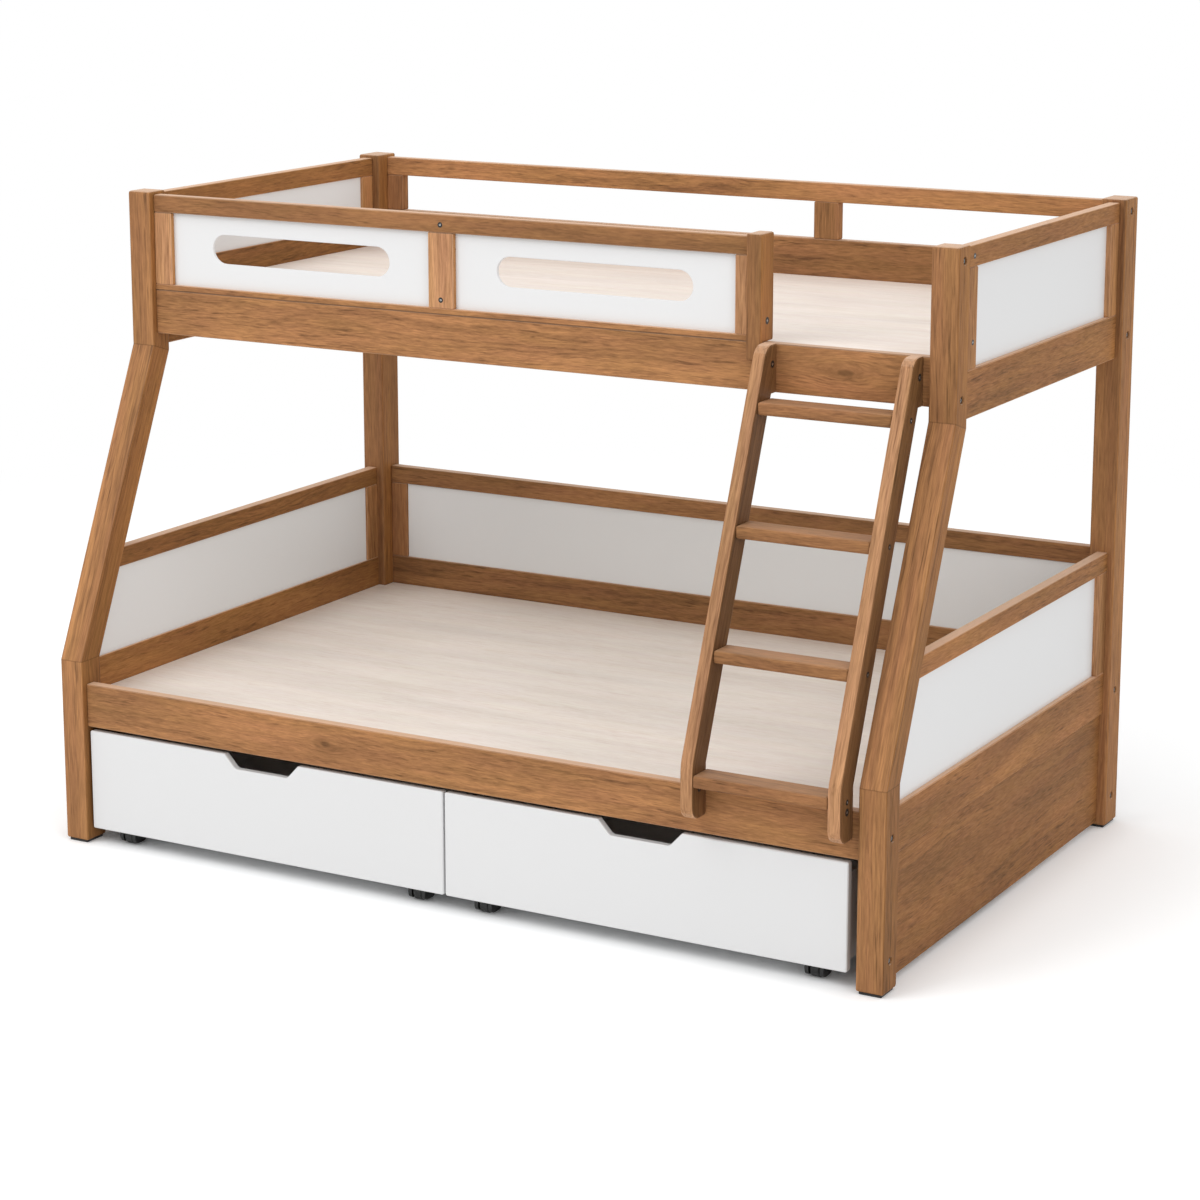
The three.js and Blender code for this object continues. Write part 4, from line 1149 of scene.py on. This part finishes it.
class BED_OT_drawers(FrameOperator):
    """Finish the drawer fronts and make the trays behind them"""

    bl_idname = "bunk_bed.drawers"
    bl_label = "Drawers"

    def execute(self, context):
        sizes = settings("drawers")
        edge = settings("sizes").edge / 2
        for drawer in DRAWERS:
            finish_nodes("drawer", drawer + "_front")
            (x0, y0, z0), (x1, y1, z1) = low(drawer + "_tray"), high(drawer + "_tray")
            z0 = high(drawer + "_wheel_1").z + sizes.wheel_gap + sizes.plate
            wall = sizes.wall
            floor_top = z0 + sizes.floor
            parts = [
                block((x0, y0, z0), (x0 + wall, y1, z1), edge),
                block((x1 - wall, y0, z0), (x1, y1, z1), edge),
                block((x0 + wall, y1 - wall, z0), (x1 - wall, y1, z1), edge),
                block((x0 + wall, y0, z0), (x1 - wall, y1 - wall, floor_top), edge),
            ]
            tray = new_piece(drawer + "_box", merged(parts), drawer, "drawer")
            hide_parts(drawer + "_tray")
        return {"FINISHED"}


def rounded_cheek(front, back, bottom, top, corner, steps=5):
    """Outline of a castor's cheek in (y, z), its lower corners rounded"""
    outline = [(back, top), (front, top)]
    for centre, start in ((front + corner, math.pi), (back - corner, 1.5 * math.pi)):
        for k in range(steps + 1):
            angle = start + math.pi / 2 * k / steps
            place = bottom + corner + corner * math.sin(angle)
            outline.append((centre + corner * math.cos(angle), place))
    return outline


class BED_OT_castors(FrameOperator):
    """Finish the castor wheels and make the forks that hold them"""

    bl_idname = "bunk_bed.castors"
    bl_label = "Castors"

    def execute(self, context):
        sizes = settings("drawers")
        half = sizes.fork_size / 2
        inner = sizes.fork_opening / 2
        edge = sizes.fork_edge
        pin = AXLE_PIN_SHARE * half
        cap = [(pin, -edge), (pin, edge / 2), (pin - edge / 2, edge)]
        for drawer in DRAWERS:
            bottom = low(drawer + "_tray").z
            wheels = [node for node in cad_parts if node.startswith(drawer + "_wheel")]
            finish_nodes("black", *wheels)
            for wheel in wheels:
                x, y, z = (low(wheel) + high(wheel)) / 2
                plate_bottom = high(wheel).z + sizes.wheel_gap
                plate_top = plate_bottom + sizes.plate
                cheek = rounded_cheek(y - half, y + half, bottom, plate_bottom, sizes.fork_corner)
                parts = [
                    swept(cheek, "x", x - half, x - inner, edge, 2),
                    swept(cheek, "x", x + inner, x + half, edge, 2),
                    block((x - half, y - half, plate_bottom), (x + half, y + half, plate_top), edge),
                ]
                for way in (-1, 1):
                    parts.append(turned(cap, CAP_SIDES, (x + way * half, y, z), (way, 0, 0)))
                new_piece(wheel + "_fork", merged(parts), drawer, "black")
        return {"FINISHED"}


def hex_head(place, axis, radius):
    """A bolt head with a bevelled rim and a hexagon socket"""
    rim = radius * RIM_SHARE
    socket = radius * SOCKET_SHARE
    profile = [(radius, -radius), (radius, -rim), (radius - rim, 0.0)]
    bm = turned(profile, BOLT_SIDES, place, axis)
    bm.faces.ensure_lookup_table()
    top = bm.faces[-1]
    middle = top.calc_center_median()
    bmesh.ops.inset_individual(bm, faces=[top], thickness=radius - rim - socket)
    corner = math.pi / 6
    for k, vertex in enumerate(top.verts):
        spoke = vertex.co - middle
        angle = math.tau * k / BOLT_SIDES
        flat = math.cos(corner) / math.cos((angle % (2 * corner)) - corner)
        vertex.co = middle + spoke.normalized() * socket * flat
    sunk = bmesh.ops.extrude_face_region(bm, geom=[top])
    moved = [v for v in sunk["geom"] if isinstance(v, bmesh.types.BMVert)]
    bmesh.ops.translate(bm, verts=moved, vec=Vector(axis) * -socket)
    bm.faces.remove(top)
    return bm


def slotted_head(place, axis, radius, turn):
    """A domed head with a straight slot across it"""
    dome = radius * DOME_SHARE
    profile = [(radius, -radius)]
    profile += [(radius * out, -dome * down) for out, down in DOME_POINTS]
    bm = turned(profile, SCREW_SIDES, place, axis)
    facing = Vector(axis)
    side = facing.orthogonal().normalized()
    along = side * math.cos(turn) + facing.cross(side) * math.sin(turn)
    over = facing.cross(along)
    half = radius * SLOT_SHARE / 2
    for offset in (-half, half):
        bmesh.ops.bisect_plane(
            bm,
            geom=bm.verts[:] + bm.edges[:] + bm.faces[:],
            plane_co=Vector(place) + over * offset,
            plane_no=over,
        )
    floor = -dome * SLOT_DEPTH_SHARE
    for vertex in bm.verts:
        away = vertex.co - Vector(place)
        inside = abs(away.dot(over)) < half / 2
        if inside and away.dot(facing) > floor:
            vertex.co += facing * (floor - away.dot(facing))
    return bm


def disc(place, axis, radius, sides):
    """A thin disc, for the black washers and rings that are painted shadow round the heads"""
    thickness = settings("fixings").shadow_disc_thickness
    return turned([(radius, -thickness), (radius, 0.0)], sides, place, axis)


def proud_of(node, way):
    """Where a head that stands out of a node's left or right face lies on X"""
    return face_x(node, way) + way * settings("fixings").screw_proud


class BED_OT_fixings(FrameOperator):
    """Make the bolts in the posts, the nuts of the ladder and the gate, and the screws"""

    bl_idname = "bunk_bed.fixings"
    bl_label = "Fixings"

    def bolt_places(self):
        half_rail = settings("sizes").rail_height / 2
        rear_y = (rear_post_front + rear_post_back) / 2
        for side in SIDES:
            lower_rail = side + "_lower_end_rail"
            upper_rail = side + "_upper_end_rail"
            foot_level = high(side + "_front_foot").z + settings("fixings").lowest_bolt
            lower_level = (low(lower_rail).z + low(side + "_lower_end_frame").z) / 2
            upper_level = (low(upper_rail).z + low(side + "_upper_end_frame").z) / 2
            guard_level = high(side + "_upper_end_frame").z - half_rail
            lower_y = (post_front + low(lower_rail).y) / 2
            upper_y = (low("gate_post").y + low(upper_rail).y) / 2
            x = OUTWARD[side] * post_outer
            for level, front_y in (
                (foot_level, lower_y),
                (lower_level, lower_y),
                (upper_level, upper_y),
                (guard_level, upper_y),
            ):
                yield side, (x, front_y, level)
                yield side, (x, rear_y, level)

    def nut_places(self):
        sizes = settings("fixings")
        for side in SIDES:
            stringer = "ladder_" + side + "_stringer"
            foot = (low(stringer).y + sizes.foot_nut_back, low(stringer).z + sizes.foot_nut)
            head = (upper_front.y - sizes.head_nut_front, high("upper_front_rail").z - sizes.head_nut)
            for way in (-1, 1):
                for y, z in (foot, head):
                    yield (proud_of(stringer, way), y, z), (way, 0, 0)
        gate = (low("gate_post") + high("gate_post")) / 2
        level = high("guard_sill").z + sizes.gate_nut
        yield (proud_of("gate_post", 1), gate.y, level), (1, 0, 0)

    def screw_places(self):
        sizes = settings("fixings")
        half_rail = settings("sizes").rail_height / 2
        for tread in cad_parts:
            if tread.startswith("ladder_tread"):
                middle = (low(tread) + high(tread)) / 2
                for side, way in OUTWARD.items():
                    x = proud_of("ladder_" + side + "_stringer", way)
                    yield (x, middle.y, middle.z), (way, 0, 0)
        stile = (low("guard_middle_stile") + high("guard_middle_stile")) / 2
        front = low("guard_middle_stile").y - sizes.screw_proud
        yield (stile.x, front, low("guard_middle_stile").z + sizes.stile_screw), (0, -1, 0)
        yield (stile.x, front, high("guard_top_rail").z - half_rail), (0, -1, 0)
        for side, way in OUTWARD.items():
            node = side + "_upper_end_frame"
            y = low(node).y + sizes.end_screw_back
            for z in (low(node).z + sizes.end_screw, high(node).z - half_rail):
                yield (proud_of(node, way), y, z), (way, 0, 0)

    def execute(self, context):
        sizes = settings("fixings")
        bolts = {side: [] for side in SIDES}
        shadow_washers = {side: [] for side in SIDES}
        for side, (x, y, z) in self.bolt_places():
            way = OUTWARD[side]
            axis = (way, 0, 0)
            sunk = (x - way * sizes.bolt_depth, y, z)
            bolts[side].append(hex_head(sunk, axis, sizes.bolt_radius))
            # A black washer under each bolt head, painted shadow in its hole
            sunk = (x - way * sizes.shadow_washer_depth, y, z)
            shadow_washers[side].append(disc(sunk, axis, sizes.shadow_washer_radius, SHADOW_WASHER_SIDES))
        for side in SIDES:
            new_piece(side + "_bolts", merged(bolts[side]), "root", "bolt_steel")
            new_piece(side + "_washers", merged(shadow_washers[side]), "root", "black")
        # The black rings are painted shadow round the nuts and screws
        rings = []
        for name, radius, places in (
            ("barrel_nuts", sizes.nut_radius, self.nut_places()),
            ("screws", sizes.screw_radius, self.screw_places()),
        ):
            heads = []
            for place, axis in places:
                heads.append(slotted_head(place, axis, radius, SLOT_TURN * place[2]))
                # A black ring behind each head, painted shadow round it
                behind = Vector(place) - Vector(axis) * sizes.screw_proud / 2
                rings.append(disc(behind, axis, radius * SHADOW_RING_SHARE, SHADOW_RING_SIDES))
            new_piece(name, merged(heads), "root", "steel")
        new_piece("rings", merged(rings), "root", "black")
        return {"FINISHED"}


# The floor's own tones, and the colour that the camera sees where the floor is lit
FLOOR_GRAIN = 0.02
FLOOR_TONES = (0.9, 0.91)
FLOOR_SEEN = (0.984, 0.994, 1.0)

# How far out the floor that the camera sees turns from lit to plain white, how it glows before,
# and how far on each side of the bed's outline that glow fades, so that the bed's shadow stays
FLOOR_TURN = (2.4, 4.5)
FLOOR_GLOW = 0.22
UNDER_EDGE = 0.1

# Each lamp's setting for its power, its side and its place
LAMPS = {
    "Key lamp": ("key_power", 3.2, (-2.1, -4.1, 4.9)),
    "Fill lamp": ("fill_power", 3.0, (6.0, -4.0, 3.5)),
    "Top lamp": ("top_power", 3.5, (0.3, -0.9, 5.6)),
}

# The lamp between the beds: its sides, how far it hangs behind the middle and below the bearer
BETWEEN_SIDES = (1.7, 0.7)
BETWEEN_BACK = 0.15
BETWEEN_DROP = 0.02


def seen_rays(t):
    """1 for the rays of the camera, mirrors and glass"""
    path = t.add("ShaderNodeLightPath").outputs
    seen = t.maths("MAXIMUM", path["Is Camera Ray"], path["Is Glossy Ray"])
    return t.maths("MAXIMUM", seen, path["Is Transmission Ray"])


def floor_material():
    """A pale floor that the camera, mirrors and glass see as white where nothing shades it"""
    material, t, shader, coordinates = new_material("Studio floor")
    seen = seen_rays(t)
    fine = use(t, "fine", Place=coordinates.outputs["Object"], Size=FLOOR_GRAIN)
    pale = t.mix(fine.outputs["Tone"], *[rgba((tone, tone, tone)) for tone in FLOOR_TONES])
    distance = t.vector("LENGTH", coordinates.outputs["Object"], out="Value")
    far = t.span(distance, *FLOOR_TURN, smooth=True)
    bright = t.mix(far, rgba(FLOOR_SEEN), rgba((0.0, 0.0, 0.0)))
    place = t.split(coordinates.outputs["Object"])
    beside = t.maths("SUBTRACT", t.maths("ABSOLUTE", place[0]), post_outer)
    middle = (lower_front.y + rear_post_back) / 2
    before = t.maths("ABSOLUTE", t.maths("SUBTRACT", place[1], middle))
    before = t.maths("SUBTRACT", before, rear_post_back - middle)
    outside = t.span(t.maths("MAXIMUM", beside, before), -UNDER_EDGE, UNDER_EDGE, smooth=True)
    glow = t.maths("MULTIPLY", t.span(far, 0.0, 1.0, FLOOR_GLOW, 1.0), outside)
    t.feed(shader.inputs["Base Color"], t.mix(seen, pale, bright))
    t.feed(shader.inputs["Emission Strength"], t.maths("MULTIPLY", seen, glow))
    shader.inputs["Emission Color"].default_value = (1.0, 1.0, 1.0, 1.0)
    shader.inputs["Roughness"].default_value = 1.0
    shader.inputs["Specular IOR Level"].default_value = 0.0
    return material


def make_floor(size):
    bm = bmesh.new()
    half = size / 2
    corners = [(-half, -half), (half, -half), (half, half), (-half, half)]
    bm.faces.new([bm.verts.new((x, y, 0.0)) for x, y in corners])
    mesh = bpy.data.meshes.new("floor")
    bm.to_mesh(mesh)
    bm.free()
    mesh.materials.append(floor_material())
    placed("floor", mesh)


def make_room_light(strength):
    """Even light from all round, which the camera sees as white"""
    world = bpy.data.worlds.new("Room light")
    bpy.context.scene.world = world
    world.use_nodes = True
    t = Tree(world.node_tree)
    background = world.node_tree.nodes["Background"]
    background.inputs["Color"].default_value = (1.0, 1.0, 1.0, 1.0)
    t.feed(background.inputs["Strength"], t.span(seen_rays(t), 0.0, 1.0, strength, 1.0))


def make_lamps(stage):
    middle = (Vector(cad_box[0]) + Vector(cad_box[1])) / 2
    for name, (setting, side, place) in LAMPS.items():
        light = bpy.data.lights.new(name, "AREA")
        light.energy = getattr(stage, setting)
        light.size = side
        lamp = placed(name, light)
        lamp.location = place
        lamp.rotation_euler = (middle - Vector(place)).to_track_quat("-Z", "Y").to_euler()

    # A soft light under the upper bed, where the walls of a room would send light in
    name = "Lamp between the beds"
    light = bpy.data.lights.new(name, "AREA")
    light.energy = stage.between_power
    light.color = stage.between_colour
    light.shape = "RECTANGLE"
    light.size, light.size_y = BETWEEN_SIDES
    lamp = placed(name, light)
    lamp.location = (0.0, middle.y + BETWEEN_BACK, low("upper_bearer").z - BETWEEN_DROP)
    lamp.visible_camera = False
    lamp.visible_glossy = False


def make_camera(stage):
    lens = bpy.data.cameras.new("Camera")
    lens.lens = stage.focal_pixels / PHOTO_PIXELS * lens.sensor_width
    lens.shift_y = (stage.axis_row - PHOTO_PIXELS / 2) / PHOTO_PIXELS
    lens.clip_end = stage.floor_size * 2
    camera = placed("Camera", lens)
    camera.location = stage.camera_place
    camera.rotation_euler = (math.pi / 2 - stage.camera_dip, 0.0, stage.camera_turn)
    bpy.context.scene.camera = camera


class BED_OT_stage(FrameOperator):
    """Make the floor, the lamps, the room light and the camera"""

    bl_idname = "bunk_bed.stage"
    bl_label = "Stage"

    def execute(self, context):
        stage = settings("stage")
        context.scene.view_settings.view_transform = "Standard"
        make_floor(stage.floor_size)
        make_room_light(stage.sky)
        make_lamps(stage)
        make_camera(stage)
        return {"FINISHED"}


STEPS = (
    BED_OT_finishes,
    BED_OT_posts,
    BED_OT_rails,
    BED_OT_rear_guards,
    BED_OT_end_guards,
    BED_OT_panels,
    BED_OT_platforms,
    BED_OT_ladder,
    BED_OT_drawers,
    BED_OT_castors,
    BED_OT_fixings,
    BED_OT_stage,
)

SETTINGS = {
    "sizes": BoardSizes,
    "drawers": DrawerSizes,
    "fixings": FixingSizes,
    "colours": Colours,
    "stage": StageSettings,
}


class BED_PT_panel(bpy.types.Panel):
    """The bed's sizes, colours and steps"""

    bl_idname = "BED_PT_panel"
    bl_label = "Bunk Bed"
    bl_space_type = "VIEW_3D"
    bl_region_type = "UI"
    bl_category = "Bunk Bed"

    def draw(self, context):
        for operator in STEPS:
            self.layout.operator(operator.bl_idname)
        for name, group in SETTINGS.items():
            box = self.layout.box()
            box.label(text=name.capitalize())
            for prop in group.__annotations__:
                box.prop(settings(name), prop)


def register():
    for group in SETTINGS.values():
        bpy.utils.register_class(group)
    for name, group in SETTINGS.items():
        setattr(bpy.types.Scene, "bunk_bed_" + name, bpy.props.PointerProperty(type=group))
    for operator in STEPS:
        bpy.utils.register_class(operator)
    bpy.utils.register_class(BED_PT_panel)


def unregister():
    bpy.utils.unregister_class(BED_PT_panel)
    for operator in reversed(STEPS):
        bpy.utils.unregister_class(operator)
    for name, group in SETTINGS.items():
        delattr(bpy.types.Scene, "bunk_bed_" + name)
        bpy.utils.unregister_class(group)


def main():
    register()
    for operator in STEPS:
        family, step = operator.bl_idname.split(".")
        getattr(getattr(bpy.ops, family), step)()


if __name__ == "__main__":
    main()
